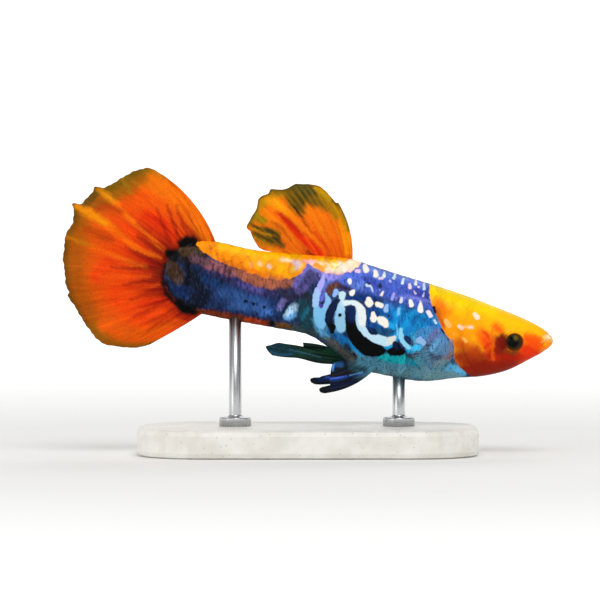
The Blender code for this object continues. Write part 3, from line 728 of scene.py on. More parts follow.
# Pale spots and swirls with firm edges, each with its own tint.
CREAM, ICE = "#f6efe2", "#a9d8f0"
PALE_MARKS = [
    # the swirl and the bar before it
    (ICE, (337, 306, 1.5), (340, 304.5, 3.0)),
    ("#dcecf2", (344, 303.5, 2.8), (350, 302.5, 2.4), (356, 303, 2.4)),
    ("#e8ecec", (357, 304, 2.6), (361, 310, 4.2), (361.5, 318, 4.6), (361.5, 324, 4.2)),
    (ICE, (356.5, 307, 0.8), (356.5, 315, 1.2), (358.5, 325, 2.2), (361, 330, 2.6)),
    ("#bfe2f4", (361.5, 328, 3.6), (365, 333, 4.2), (371, 337, 4.4), (377, 339, 4.8)),
    ("#bfe4f4", (379, 339.5, 4.8), (385, 341.5, 5.0)),
    ("#dfe0d8", (388, 341.5, 4.4), (391.5, 340.0, 3.8), (394.5, 337.5, 1.8)),
    ("#a8a4f0", (324, 274, 1.0), (322, 282, 2.6), (319, 289, 3.0)),
    ("#9ec3f0", (318, 290, 3.2), (316, 298, 3.4), (315.5, 305, 3.2)),
    ("#86b8ea", (326, 294, 1.2), (328, 301, 3.0), (326.5, 308, 3.8)),
    ("#76bce8", (320, 312, 6.8), (320.5, 319, 6.4), (321.5, 325, 4.0)),
    ("#a4d2ec", (340, 305, 3.0), (341, 311, 4.6)),
    ("#8cc2e2", (341, 313, 5.0), (340.5, 320, 6.0), (341, 328, 4.6)),
    # spots inside the swirl
    (CREAM, (373.2, 313, 1.8), (373.6, 318.5, 3.8)),
    (CREAM, (378.5, 318.5, 2.2), (382.5, 321, 4.4), (386, 325, 3.0)),
    (CREAM, (368.5, 299.0, 2.2), (369.2, 303, 4.2)),
    (CREAM, (377.5, 304.5, 2.6), (381.0, 305.5, 2.8)),
    ("#90bcec", (386.5, 306, 1.8), (386, 310, 2.6)),
    # ring on the flank
    ("#6cc4f0", (396.5, 325, 0.8), (398, 334, 1.1)),
    ("#8cd4f2", (401, 329, 1.6), (401.3, 336, 2.6), (404.5, 343, 2.8), (409.5, 348, 1.8)),
    ("#86b4e6", (420, 340, 3.4), (423.5, 343, 2.6)),
    # two rows of spots along the back, one on each scale
    (CREAM, (365, 266, 2.2), (366, 270, 3.0)),
    (CREAM, (375, 271, 1.6), (376, 275, 2.8)),
    ("#d4ecec", (384, 273, 1.2), (384, 276, 1.7)),
    ("#c8e4f0", (395, 274, 1.1), (394, 278, 1.5)),
    ("#d8ecea", (403.5, 279, 1.2), (402.5, 283, 1.6)),
    ("#ecd4e4", (409.5, 284, 1.2), (410, 288, 1.6)),
    ("#ece8dc", (416, 281, 1.1), (415.5, 284, 1.5)),
    ("#cce0f0", (424, 284, 1.1), (424, 289, 1.4)),
    ("#d8d0f0", (419, 287, 1.2)),
    ("#c8b8f0", (390, 281, 1.3)),
    ("#e8c4e0", (356.5, 271, 1.8), (359, 271, 2.0)),
    ("#e4c8e4", (379.5, 278.5, 1.3), (382.5, 278.5, 1.2)),
    (CREAM, (349.5, 280.5, 2.2), (350, 283, 1.6)),
    (CREAM, (353.6, 290.5, 1.6), (352, 293.2, 2.8)),
    ("#c4e2ee", (342, 294.5, 3.4), (341.5, 300, 2.4)),
    ("#8cb4f6", (336, 291.5, 2.4), (334.5, 295, 2.2)),
    ("#c8d8e8", (367, 285, 1.4), (371, 286.5, 1.0), (373, 292, 0.7)),
    ("#eee0d8", (383, 292, 1.1), (381.5, 295, 1.5)),
    ("#e0c8e4", (379.5, 290, 0.9)),
    ("#9ca0f0", (394, 294, 1.3), (392, 299, 1.4)),
    ("#d4dce4", (401.5, 298, 1.3), (401, 302, 1.5)),
    (CREAM, (410.5, 301, 1.8), (411.5, 305, 2.5)),
    (CREAM, (420.5, 301, 0.7), (420.5, 306, 2.2), (420.5, 310, 3.0)),
    ("#ece0e8", (428.5, 312, 2.0), (430.5, 316, 2.2)),
    ("#b8d8f0", (434, 320, 1.1), (436, 323, 1.3)),
    ("#f0c8c8", (414, 291, 0.9), (415.5, 294, 1.1)),
    ("#e8d8f0", (424, 293, 0.7), (423, 296, 0.7)),
    ("#74bcea", (399, 309, 1.6), (398.5, 314, 1.6)),
    # pale freckles on the gill cover and behind the eye
    ("#f9e2c4", (475.0, 314.6, 2.2), (477.5, 317.4, 2.4)),
    ("#f5d4b4", (459.5, 326.5, 2.3), (462.0, 328, 2.2)),
    ("#f5d0b0", (469, 327, 1.7), (472, 327.2, 1.7)),
    ("#f8c060", (465.5, 326.5, 1.2)),
    ("#f8b858", (446, 321.5, 2.4), (449, 325, 2.6)),
    ("#f8b450", (463, 338, 1.3), (466, 341, 1.7)),
    ("#f9ae40", (454, 334, 1.2)),
    ("#ee8a5c", (450.5, 340.0, 1.0), (453, 341.5, 0.8)),
]

# Black marks: the arc and the band round the swirl, the heart below it, and small dots. Where the black cells
# are fewer it is navy.
BLACK_MARKS = [
    [(339.5, 300, 1.2), (336, 302, 2.6), (333, 307, 4.0), (330.5, 313, 4.4), (328.5, 320, 3.8),
     (330, 325.5, 3.0)],
    [(332.5, 327.5, 3.4), (332, 332, 1.8)],
    [(350.5, 311.8, 5.6), (350, 320, 4.8), (351.5, 328, 5.6), (354.5, 335, 6.4), (360, 342, 7.2),
     (366.5, 347.4, 7.8), (373.5, 350, 6.7), (380, 350.6, 4.9), (385.5, 350.4, 1.0)],
    [(395, 343.4, 2.4), (396.3, 347, 4.2), (396, 350.5, 5.2), (391.5, 352.0, 3.6), (387.5, 350.8, 0.8)],
    [(396.5, 350.5, 5.0), (401.5, 351.8, 3.6), (404.8, 351.4, 0.9)],
    [(369, 329, 1.6), (372, 331, 3.2), (376, 333.5, 1.6)],
    [(406, 337.5, 2.2), (408, 340, 3.0), (412.5, 345, 1.4)],
    [(340, 315, 2.0)],
    [(380, 286, 2.3)],
    [(369, 283.5, 1.4)],
    [(388.5, 316, 1.7)],
    [(321, 306, 2.2)],
    [(246, 301.5, 1.6)],
    [(254, 304, 1.6)],
    [(264, 307, 1.2)],
    [(434, 307.5, 1.4), (435.5, 313, 0.8)],
    [(441, 329, 0.6), (444, 333, 1.0)],
]
BLACK_WASHES = [
    ("#0b2250", 7, (344, 309, 5), (352, 309, 6), (352, 318, 4)),
    ("#0d1c40", 6, (338, 300, 4), (332, 309, 4), (328, 320, 3)),
    ("#0a1c44", 4, (394, 344, 2.5), (397, 348, 1.5)),
    ("#1c2450", 5, (380, 286, 3), (369, 283, 3), (388, 316, 3)),
    ("#0c2a58", 4, (370, 329, 2.5), (374, 332, 1.5)),
    ("#12305c", 4, (406, 338, 3), (412, 345, 2)),
    ("#4a3a9c", 4, (321, 306, 3.5)),
]


def crossed(u, v, outline):
    """How far each place is past an open line that runs down the picture, in pixels.

    Before the line it is below nought.
    """
    line = through(outline, np.linspace(0, len(outline) - 1, 12 * len(outline)))
    side = np.sign(u - np.interp(v, line[:, 1], line[:, 0]))
    return side * path_distance(u, v, line)


pale_depth = deepest(u, v, [knots for _, *knots in PALE_MARKS])
black_depth = deepest(u, v, BLACK_MARKS)
# Each pale mark's tint carries over smoothly to the next mark's.
weight_sum = np.full(u.shape, 1e-12)
pale = np.zeros(ground.shape)
for code, *knots in PALE_MARKS:
    weight = np.exp(np.clip(stroke(u, v, knots), -20, 20) / PALE_BLEND)
    pale += weight[..., None] * np.array(linear(code))
    weight_sum += weight
pale /= weight_sum[..., None]
navy = painted(all_over("#010203", u), u, v, BLACK_WASHES)

# The warm layer lies over the blue one: the head, the back of the stalk, and the saddle over that.
head_depth = crossed(u, v, HEAD_EDGE) * PIXEL
u, v = ragged(u, v, EDGE_RAGGED)
saddle_depth = np.minimum(stroke(u, v, SADDLE), -crossed(u, v, SADDLE_FRONT)) * PIXEL
cream_depth = stroke(u, v, CREAM_SADDLE) * PIXEL
warm_depth = np.max([head_depth, saddle_depth, cream_depth], axis=0)
warm = painted(all_over("#fd9206", u), u, v, SADDLE_WASHES)
warm = laid_over(warm, painted(warm, u, v, CREAM_WASHES), step(cream_depth, -0.12, 0.12))
front = painted(all_over("#fc9a05", u), u, v, HEAD_WASHES)
warm = np.where(head_depth[..., None] > -1, front, warm)
# A dark stripe runs along the ridge of the back: partly its own dark line, partly painted shade that darkens
# the top, which the light from above brightens. It stops at the dorsal fin's foot and fades on the head.
on_ridge = step(np.sin(angle), 0.93, 1.0) * (1 - step(x, 4.5, 6.5) * step(16.5 - x, 0, 1))
ridge_line_and_shade = RIDGE_LINE_AND_SHADE * on_ridge * (1 - 0.8 * step(x, 21.0, 25.0))
warm = laid_over(warm, linear("#3a3004"), ridge_line_and_shade)
ground = laid_over(ground, linear("#0c1430"), ridge_line_and_shade)


def write(piece, values):
    """Puts each named value on a piece's points for its material to read. Four columns are a colour."""
    for name, value in values.items():
        is_colour = value.ndim == 2 and value.shape[1] == 4
        kind, field = ("FLOAT_COLOR", "color") if is_colour else ("FLOAT", "value")
        made = piece.data.attributes.new(name, kind, "POINT")
        made.data.foreach_set(field, np.ravel(value).astype(np.float32))


# Wet fish skin: clear scales over pigment cells, so it is glossy on top, sparkles scale by scale where the
# blue cells mirror light, and is peppered with black cells. They are drawn as grains of a tenth of a
# millimetre, several times their real size, so that they show.
EDGE_WANDER = 0.24
EDGE_BLUR = 0.06
WANDER_GRAIN = 0.35
PEPPER_GRAIN = 0.10
SKIN_GRAIN = 0.12
STROKE_WIDTH = 0.17
STROKE_TURN = (0, math.radians(-32), 0)
STROKE_STRETCH = (1, 1, 0.4)
SCALE_SPARKLE = 0.20
SCALE_RIM = 0.20
# A blend takes its two colours at inputs 6 and 7, and gives one at output 2. A soft step rises smoothly from
# the value at input 1 to the one at input 2.
BLEND = {"output": 2, "data_type": "RGBA"}
SOFT = {"interpolation_type": "SMOOTHSTEP"}

skin, tree = new_material("wet_scaled_skin")
where = add_node(tree, "TexCoord", output="Object")
wander = add_node(
    tree, "TexNoise", {"Vector": where, "Scale": 1 / (WANDER_GRAIN * MM), "Detail": 3.0, "Roughness": 0.6}
)
wander = add_node(tree, "Math", {0: wander, 1: 0.5}, operation="SUBTRACT")
wander = add_node(tree, "Math", {0: wander, 1: EDGE_WANDER}, operation="MULTIPLY")
fleck = add_node(tree, "TexNoise", {"Vector": where, "Scale": 1 / (PEPPER_GRAIN * MM), "Roughness": 0.6})
# Short leaning strokes where the blue cells lie thick or thin, and black pepper over them.
leaning = add_node(tree, "Mapping", {"Vector": where, "Rotation": STROKE_TURN, "Scale": STROKE_STRETCH})
strokes = add_node(tree, "TexNoise", {"Vector": leaning, "Scale": 1 / (STROKE_WIDTH * MM)})
colour = add_node(tree, "Attribute", output="Color", attribute_name="ground")
lighter = add_node(tree, "Mix", {0: 1.0, 6: colour, 7: linear("#26364c")}, **BLEND, blend_type="ADD")
thick = add_node(tree, "MapRange", {0: strokes, 1: 0.52, 2: 0.68, 4: 0.55}, **SOFT)
colour = add_node(tree, "Mix", {0: thick, 6: colour, 7: lighter}, **BLEND)
darker = add_node(tree, "Mix", {0: 1.0, 6: colour, 7: linear("#8c94a8")}, **BLEND, blend_type="MULTIPLY")
thin = add_node(tree, "MapRange", {0: strokes, 1: 0.46, 2: 0.32, 4: 0.8}, **SOFT)
colour = add_node(tree, "Mix", {0: thin, 6: colour, 7: darker}, **BLEND)
pepper = add_node(tree, "MapRange", {0: fleck, 1: 0.54, 2: 0.72, 4: 0.30}, **SOFT)
colour = add_node(tree, "Mix", {0: pepper, 6: colour, 7: linear("#0a1428")}, **BLEND)
# The warm layer, the pale marks and the black ones each end in a firm but uneven edge.
covers = []
for name in ("warm_depth", "pale_depth", "black_depth"):
    depth = add_node(tree, "Attribute", output="Fac", attribute_name=name)
    depth = add_node(tree, "Math", {0: depth, 1: wander}, operation="ADD")
    covers.append(add_node(tree, "MapRange", {0: depth, 1: -EDGE_BLUR, 2: EDGE_BLUR}, **SOFT))
warm_cover, pale_cover, black_cover = covers
freckle = add_node(tree, "MapRange", {0: fleck, 1: 0.52, 2: 0.76, 4: 0.16}, **SOFT)
warm_colour = add_node(tree, "Attribute", output="Color", attribute_name="warm")
warm_colour = add_node(tree, "Mix", {0: freckle, 6: warm_colour, 7: linear("#b02404")}, **BLEND)
colour = add_node(tree, "Mix", {0: warm_cover, 6: colour, 7: warm_colour}, **BLEND)
# Each scale has its own brightness and a darker rim.
shade = add_node(tree, "Attribute", output="Fac", attribute_name="scale_tint")
shade = add_node(tree, "MapRange", {0: shade, 3: 1 - SCALE_SPARKLE, 4: 1 + SCALE_SPARKLE}, **SOFT)
shade = add_node(tree, "CombineColor", {0: shade, 1: shade, 2: shade})
colour = add_node(tree, "Mix", {0: 1.0, 6: colour, 7: shade}, **BLEND, blend_type="MULTIPLY")
rim = add_node(tree, "Attribute", output="Fac", attribute_name="scale_rim")
rim = add_node(tree, "Math", {0: rim, 1: SCALE_RIM}, operation="MULTIPLY")
colour = add_node(tree, "Mix", {0: rim, 6: colour, 7: linear("#0a0d18")}, **BLEND)
# The pale and the black marks lie over everything.
shimmer = add_node(tree, "MapRange", {0: fleck, 1: 0.48, 2: 0.78, 4: 0.35}, **SOFT)
pale_colour = add_node(tree, "Attribute", output="Color", attribute_name="pale")
pale_colour = add_node(tree, "Mix", {0: shimmer, 6: pale_colour, 7: linear("#8ab4d8")}, **BLEND)
colour = add_node(tree, "Mix", {0: pale_cover, 6: colour, 7: pale_colour}, **BLEND)
black_colour = add_node(tree, "Attribute", output="Color", attribute_name="navy")
colour = add_node(tree, "Mix", {0: black_cover, 6: colour, 7: black_colour}, **BLEND)
grain = add_node(tree, "TexNoise", {"Vector": where, "Scale": 1 / (SKIN_GRAIN * MM), "Detail": 3.0})
grain = add_node(tree, "Bump", {"Height": grain, "Strength": 0.25, "Distance": 0.02 * MM})
shader = add_node(
    tree,
    "BsdfPrincipled",
    {
        "Base Color": colour,
        "Roughness": 0.48,
        "Specular IOR Level": 0.05,
        "Coat Weight": 0.04,
        "Coat Roughness": 0.12,
        "Normal": grain,
    },
)
add_node(tree, "OutputMaterial", {0: shader})

number = np.arange(SKIN_ROWS * SKIN_SIDES).reshape(SKIN_ROWS, SKIN_SIDES)
# The rear edge is one line of points, shared by both sides, and the snout's tip is one point.
side = np.arange(SKIN_SIDES)
number[0] = number[0, np.minimum(side, (SKIN_SIDES - side) % SKIN_SIDES)]
number[-1] = number[-1, 0]
wrap = ring_closed(number)
body_faces = quads(wrap[:-1])
tip = np.full(SKIN_SIDES, number[-1, 0])
snout_faces = np.stack([wrap[-2, :-1], tip, wrap[-2, 1:]], -1)


def without_spares(points, faces, values):
    """Drops the points that no face uses, and numbers the rest anew."""
    used = np.zeros(len(points), bool)
    for part in faces:
        used[part.ravel()] = True
    number = np.cumsum(used) - 1
    return points[used], [number[part] for part in faces], {key: value[used] for key, value in values.items()}


skin_values = {
    "ground": ground.reshape(-1, 4),
    "warm": warm.reshape(-1, 4),
    "pale": pale.reshape(-1, 4),
    "navy": navy.reshape(-1, 4),
    "warm_depth": warm_depth.ravel(),
    "pale_depth": pale_depth.ravel(),
    "black_depth": black_depth.ravel(),
    "scale_tint": (scale_tint * scaled + 0.5 * (1 - scaled)).ravel(),
    "scale_rim": (bump(from_edge, 0.14) * scaled**2).ravel(),
}
points, faces, skin_values = without_spares(
    skin_points.reshape(-1, 3), [body_faces, snout_faces], skin_values
)
body = new_piece("skin", points, faces, skin)
write(body, skin_values)
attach(body, "root")
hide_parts("head", "trunk", "tail_stalk")


# The eyes: a wet ball in the cup of each orbit, with a black pupil in a dark ring, and a green and gold
# glint painted over them as a reflection. They are separate from the skin.

EYE_RINGS = 56
EYE_SPOKES = 96
IRIS_GRAIN = 0.10
PUPIL_RADIUS = 0.50
PUPIL_SHIFT = (-0.09, 0.00)
# Where the painted glint, an olive-gold reflection, sits off the eye's middle.
PAINTED_GLINT_SHIFT = (0.10, 0.36)
IRIS_RADIUS = 0.72

# Wet eye: a clear layer over the colour, so it keeps a small sharp highlight. Outwards from the middle come
# the pupil, the iris and its rusty ring, and a painted glint, an olive-gold reflection, lies over them.
eye, tree = new_material("wet_eye")
where = add_node(tree, "TexCoord", output="Object")
mottle = add_node(
    tree, "TexNoise", {"Vector": where, "Scale": 1 / (IRIS_GRAIN * MM), "Detail": 3.0, "Roughness": 0.7}
)
colour = add_node(tree, "Mix", {0: mottle, 6: linear("#120a04"), 7: linear("#4a2e0c")}, **BLEND)
ring = add_node(tree, "Attribute", output="Fac", attribute_name="from_axis")
ring = add_node(tree, "MapRange", {0: ring, 1: IRIS_RADIUS - 0.08, 2: IRIS_RADIUS + 0.06}, **SOFT)
colour = add_node(tree, "Mix", {0: ring, 6: colour, 7: linear("#7a3406")}, **BLEND)
iris = add_node(tree, "Attribute", output="Fac", attribute_name="from_pupil")
iris = add_node(tree, "MapRange", {0: iris, 1: PUPIL_RADIUS - 0.05, 2: PUPIL_RADIUS + 0.05}, **SOFT)
colour = add_node(tree, "Mix", {0: iris, 6: linear("#010101"), 7: colour}, **BLEND)
# A painted glint: an olive-gold reflection laid over the top of the pupil.
glint = add_node(tree, "Attribute", output="Fac", attribute_name="from_glint")
glint = add_node(tree, "MapRange", {0: glint, 1: 0.05, 2: 0.34, 3: 0.85, 4: 0.0}, **SOFT)
colour = add_node(tree, "Mix", {0: glint, 6: colour, 7: linear("#66580e")}, **BLEND)
shader = add_node(
    tree,
    "BsdfPrincipled",
    {
        "Base Color": colour,
        "Roughness": 0.35,
        "Specular IOR Level": 0.02,
        "Coat Weight": 0.14,
        "Coat Roughness": 0.03,
    },
)
add_node(tree, "OutputMaterial", {0: shader})

eye_y = float(flank(np.array(EYE_AT[0]), np.array(EYE_AT[1]))) - EYE_SUNK
fall = np.linspace(0, math.pi, EYE_RINGS)[1:-1, None]
turn = np.linspace(0, 2 * math.pi, EYE_SPOKES, endpoint=False)[None, :]
for side, word in ((-1, "right"), (1, "left")):
    # A flattened ball whose poles point out of the head and into it.
    ball = np.stack(
        [
            EYE_AT[0] + EYE_RADIUS * np.sin(fall) * np.cos(turn),
            side * (eye_y + EYE_DEPTH * np.cos(fall) + 0 * turn),
            EYE_AT[1] + EYE_RADIUS * np.sin(fall) * np.sin(turn),
        ],
        -1,
    )
    points = posed(ball).reshape(-1, 3)
    poles = posed(np.array([[EYE_AT[0], side * (eye_y + way * EYE_DEPTH), EYE_AT[1]] for way in (1, -1)]))
    number = ring_closed(np.arange(len(points)).reshape(fall.size, -1))[:, ::-side]
    outer = np.full(EYE_SPOKES, len(points))
    caps = [
        np.stack([outer, number[0, :-1], number[0, 1:]], -1),
        np.stack([outer + 1, number[-1, 1:], number[-1, :-1]], -1),
    ]
    faces = [quads(number)] + caps
    ball_eye = new_piece("eyeball_" + word, np.vstack([points, poles]), faces, eye)
    # How far each point is from the axis, the pupil and the painted glint in the side view. The half inside
    # the head is past them all.
    hidden = np.where(np.cos(fall) > 0, 0, EYE_RADIUS)
    values = {}
    for key, (forwards, up) in (("axis", (0.0, 0.0)), ("pupil", PUPIL_SHIFT), ("glint", PAINTED_GLINT_SHIFT)):
        off = np.hypot(ball[..., 0] - EYE_AT[0] - forwards, ball[..., 2] - EYE_AT[1] - up) + hidden
        values["from_" + key] = np.append(off.ravel(), [math.hypot(forwards, up), 2 * EYE_RADIUS])
    write(ball_eye, values)
    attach(ball_eye, "root")
    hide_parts("eye_" + word)


# The tail fin: soft rays that fork twice on their way to the margin, with thin skin between them. It is
# folded along its stiffest rays, which run out into three points, and grows from the edge of the stalk.

CAUDAL_MARGIN = [
    (-1.28, -6.68), (-2.50, -7.26), (-4.28, -7.44), (-5.65, -7.28), (-7.22, -6.00), (-8.35, -4.72),
    (-9.18, -3.84), (-9.16, -3.44), (-9.62, -2.70), (-9.72, -2.10), (-10.20, -0.65), (-10.28, 0.45),
    (-10.38, 1.30), (-10.18, 1.92), (-9.92, 2.66), (-9.98, 3.55), (-10.20, 4.26), (-9.58, 4.32),
    (-9.05, 5.02), (-8.66, 5.72), (-8.52, 6.10), (-7.86, 6.12), (-7.24, 6.50), (-6.50, 7.16), (-5.45, 8.02),
    (-4.34, 8.54), (-3.55, 8.42), (-2.68, 8.04), (-1.85, 7.60),
]
CAUDAL_TIPS = (12, 16, 20)
CAUDAL_RAYS = 22
CAUDAL_ROWS = 120
COLUMNS_PER_RAY = 10
CAUDAL_BOW = (0.03, -0.14)
CAUDAL_FOLDS = (0.32, 4.5)
CAUDAL_SUNK = 0.13
CAUDAL_NOTCH = (0.006, 0.003)
TIP_TURN = 0.16
# Half of a fin's thickness: the web's, what its root and its rays add, and what the rays lose outwards.
CAUDAL_HALF = (0.045, 0.10, 0.07, 0.04)
FIN_RAGGED = 0.8


def stretch(knots, fine=400):
    """The curve through the knots at a fine spacing, and each place's share of its length."""
    line = through(knots, np.linspace(0, len(knots) - 1, fine))
    length = np.concatenate([[0], np.cumsum(np.linalg.norm(np.diff(line, axis=0), axis=1))])
    return line, length / length[-1]


def along(knots, share):
    """Places on the curve through the knots, at shares of its length."""
    line, length = stretch(knots)
    return np.stack([np.interp(share, length, line[:, axis]) for axis in range(line.shape[1])], -1)


def forks(across, reach, rays, first=0.42, second=0.74):
    """How high the rays stand between nought and one: each splits in two at first, and in four at second."""
    off = across * rays % 1 - 0.5
    spread = 0.25 * step(reach, first, first + 0.3)
    finer = 0.125 * step(reach, second, second + 0.25)
    width = 0.15 - 0.07 * reach
    high = np.zeros(np.broadcast(across, reach).shape)
    for way in (-1, 1):
        for turn in (-1, 1):
            high = np.maximum(high, bump(off - way * spread - turn * finer, width))
    return high


def sheet(start, end, rows, bow, swing=0.0, off=0.0, folds=(0.0, 0.0), sunk=0.1):
    """The middle of a fin: each ray is a shallow bow from start to end, and the sheet waves at its margin.

    The ray's control point stands off its chord by bow's share of it, and the same curve runs on backwards
    into the flesh for the sunk share of its length. The sheet stands off the fish's middle by off, and swings
    out by swing degrees. Its wave grows with the reach to the power of 1.5.
    """
    across = np.linspace(0, 1, len(start))[:, None]
    reach = np.linspace(-sunk, 1, rows)[None, :]
    run = end - start
    bows = bow[0] + (bow[1] - bow[0]) * across
    middle = (start + end) / 2 + np.stack([-run[:, 1], run[:, 0]], -1) * bows
    r = reach[..., None]
    flat = (1 - r) ** 2 * start[:, None] + 2 * r * (1 - r) * middle[:, None] + r**2 * end[:, None]
    out = math.radians(swing)
    back = start[:, :1] - flat[..., 0]
    wave = folds[0] * np.sin(2 * math.pi * folds[1] * across) * np.clip(reach, 0, 1) ** 1.5
    x, y = start[:, :1] - back * math.cos(out), off + back * math.sin(out) + wave
    return np.stack([x, y, flat[..., 1]], -1), across, reach


def notched(root_line, margin_line, cut):
    """A margin drawn in towards the root, by a share of each ray's length."""
    return root_line + (margin_line - root_line) * (1 - cut)[:, None]


def corners_cut(number):
    """A grid's cells, with those at its four corners cut in two by a line from the grid's own corner.

    Cut the other way, a corner would be one triangle lying on its twin in the other face.
    """
    cells, rows = quads(number), number.shape[1] - 1
    even, odd = [0, len(cells) - 1], [rows - 1, len(cells) - rows]
    halves = [(even, (0, 1, 2)), (even, (0, 2, 3)), (odd, (0, 1, 3)), (odd, (1, 2, 3))]
    return [np.delete(cells, even + odd, 0), np.concatenate([cells[at][:, keep] for at, keep in halves])]


def two_faced(name, middle, half, material, values, side=1):
    """A fin of two faces that stand half off its middle, and meet along all of its edges.

    Each face's points carry the same values.
    """
    normal = facing(middle)
    columns, rows = middle.shape[:2]
    front = np.arange(columns * rows).reshape(columns, rows)
    back = front + columns * rows
    edge = np.zeros((columns, rows), bool)
    edge[[0, -1]] = edge[:, [0, -1]] = True
    back = np.where(edge, front, back)
    half = np.where(edge, 0, half)[..., None]
    points = np.stack([middle + normal * half, middle - normal * half])
    points[..., 1] *= side
    faces = [part[:, ::side] for part in corners_cut(front)]
    faces += [part[:, ::-side] for part in corners_cut(back)]
    doubled = {key: np.concatenate([value.reshape(columns * rows, -1)] * 2) for key, value in values.items()}
    points, faces, doubled = without_spares(posed(points).reshape(-1, 3), faces, doubled)
    piece = new_piece(name, points, faces, material)
    write(piece, doubled)
    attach(piece, "root")
    return piece


def graded(value, stops):
    """A colour for each value, blended between stops of a value and a hex code."""
    places = [place for place, _ in stops]
    codes = np.array([linear(code) for _, code in stops])
    return np.stack([np.interp(value, places, codes[:, i]) for i in range(4)], -1)


def tail_plate(turn, grow=0.0):
    """A point on the half ellipse that ends the tail stalk, where turn goes from -1 below to 1 above."""
    angle = np.asarray(turn) * math.pi / 2
    x = PLATE_CENTRE[0] - (PLATE_REACH + grow) * np.cos(angle)
    return np.stack([x, PLATE_CENTRE[1] + (PLATE_RISE + grow) * np.sin(angle)], -1)


CAUDAL_WASHES = [
    # orange above, red in the heart of the fan, gold and olive along the margin
    ("#fb8204", 14, (210, 240, 6), (200, 224, 9), (188, 208, 11), (172, 194, 12), (150, 182, 12)),
    ("#fa6405", 14, (182, 236, 6), (164, 214, 9), (142, 200, 10)),
    ("#f03c04", 12, (176, 240, 5), (162, 224, 8), (148, 216, 6)),
    ("#d88006", 8, (162, 176, 3), (150, 172, 3), (135, 174, 5), (120, 183, 5), (108, 192, 5)),
    ("#b4700a", 14, (142, 178, 5), (128, 184, 7), (112, 196, 6)),
    ("#8a680a", 8, (148, 168, 3), (132, 174, 5), (114, 185, 5), (104, 191, 3)),
    ("#7c5a0a", 5, (96, 193, 3), (88, 201, 4), (82, 208, 2)),
    ("#a86808", 8, (112, 200, 4), (98, 207, 4)),
    ("#8c5c08", 8, (74, 222, 3), (70, 232, 4)),
    ("#c06004", 20, (80, 232, 5), (76, 250, 7), (76, 285, 7), (88, 314, 7)),
    ("#7a4e06", 14, (64, 238, 2), (60, 262, 5), (62, 284, 5), (69, 302, 4), (80, 323, 3)),
    ("#442c06", 7, (60, 240, 1.5), (57, 262, 4.5), (59, 284, 4.5), (66, 302, 3.5), (78, 323, 2.5)),
    ("#a4620a", 8, (88, 330, 4), (104, 344, 5), (126, 350, 5), (150, 348, 4)),
    ("#ee6404", 10, (104, 324, 6), (126, 333, 7), (150, 332, 6), (172, 324, 5)),
    ("#f44e04", 12, (164, 314, 7), (140, 308, 9), (118, 296, 9)),
    ("#e83c04", 8, (180, 306, 4), (160, 301, 4), (140, 304, 3)),
    ("#b42804", 6, (200, 316, 4), (190, 318, 4), (178, 314, 2)),
    ("#f04a04", 10, (112, 262, 7), (98, 276, 7)),
    ("#e05204", 6, (150, 322, 2), (170, 322, 3), (184, 324, 3)),
    # painted highlights along the crests of the folds
    ("#fda204", 6, (77, 207, 2.5), (90, 213, 4), (104, 222, 3.5), (112, 228, 2.5)),
    ("#fd7a05", 6, (110, 227, 3), (124, 238, 3), (138, 249, 2.5), (160, 258, 1.5)),
    ("#f29c08", 5, (98, 189, 1.5), (107, 196, 2.6), (117, 205, 2.6)),
    ("#fb7e06", 5, (117, 205, 2.6), (132, 221, 2.4), (150, 237, 2), (165, 252, 1.2)),
    ("#d88408", 5, (66, 237, 1.4), (80, 242, 1.8), (92, 246, 1.6)),
    ("#f67206", 5, (92, 246, 2), (118, 257, 2.2), (132, 263, 2.4), (146, 267, 2)),
    ("#b88410", 4, (122, 178, 1.2), (127, 186, 1.4), (132, 193, 1)),
    ("#f45a06", 5, (100, 276, 2), (126, 277, 1.8), (150, 276, 1.2)),
    ("#f45606", 5, (120, 292, 2), (140, 289, 1.8), (160, 284, 1.2)),
    # the shadows between them
    ("#d04c04", 7, (120, 212, 2.4), (106, 206, 2.6), (96, 210, 1.6)),
    ("#c84a04", 7, (112, 240, 2.5), (100, 236, 3), (86, 230, 2)),
    ("#c03004", 5, (150, 232, 2), (138, 224, 1.6)),
    ("#9c2004", 5, (168, 255, 2), (154, 248, 2), (138, 236, 1)),
    ("#a82404", 4, (166, 262, 1.6), (146, 257, 1.6), (126, 247, 0.8)),
    ("#8e1c04", 5, (166, 270, 2.4), (148, 268, 1.6), (130, 269, 1.0), (112, 268, 0.6)),
    ("#a02404", 4, (164, 278, 2), (144, 281, 1.4), (124, 285, 0.8)),
    ("#b02804", 4, (166, 288, 2), (150, 293, 1.4), (130, 300, 0.8)),
    ("#c02c04", 4, (172, 298, 2), (152, 308, 1.4), (134, 316, 0.8)),
    ("#c83004", 4, (182, 308, 1.8), (162, 320, 1.2), (148, 330, 0.6)),
    ("#b02404", 4, (172, 245, 1.6), (164, 228, 1.4), (157, 208, 0.7)),
    ("#a82004", 4, (180, 240, 1.6), (173, 222, 1.4), (167, 205, 0.7)),
    ("#b82804", 4, (188, 236, 1.6), (182, 222, 1.4), (176, 206, 0.7)),
    # black cells where the rays come out of the flesh
    ("#1c0804", 5, (166, 264, 2.4), (163.5, 276, 2.4), (165, 290, 2.4), (172, 300, 3)),
    ("#020202", 4, (170, 254, 5), (175, 256, 6)),
    ("#070403", 5, (181, 243, 4), (188, 240, 4.4), (195, 241, 3.2)),
    ("#070403", 4, (183, 246, 3.5), (189, 244, 3.5)),
    ("#030203", 5, (177, 303, 4), (185, 309, 5), (194, 312, 3.4)),
]

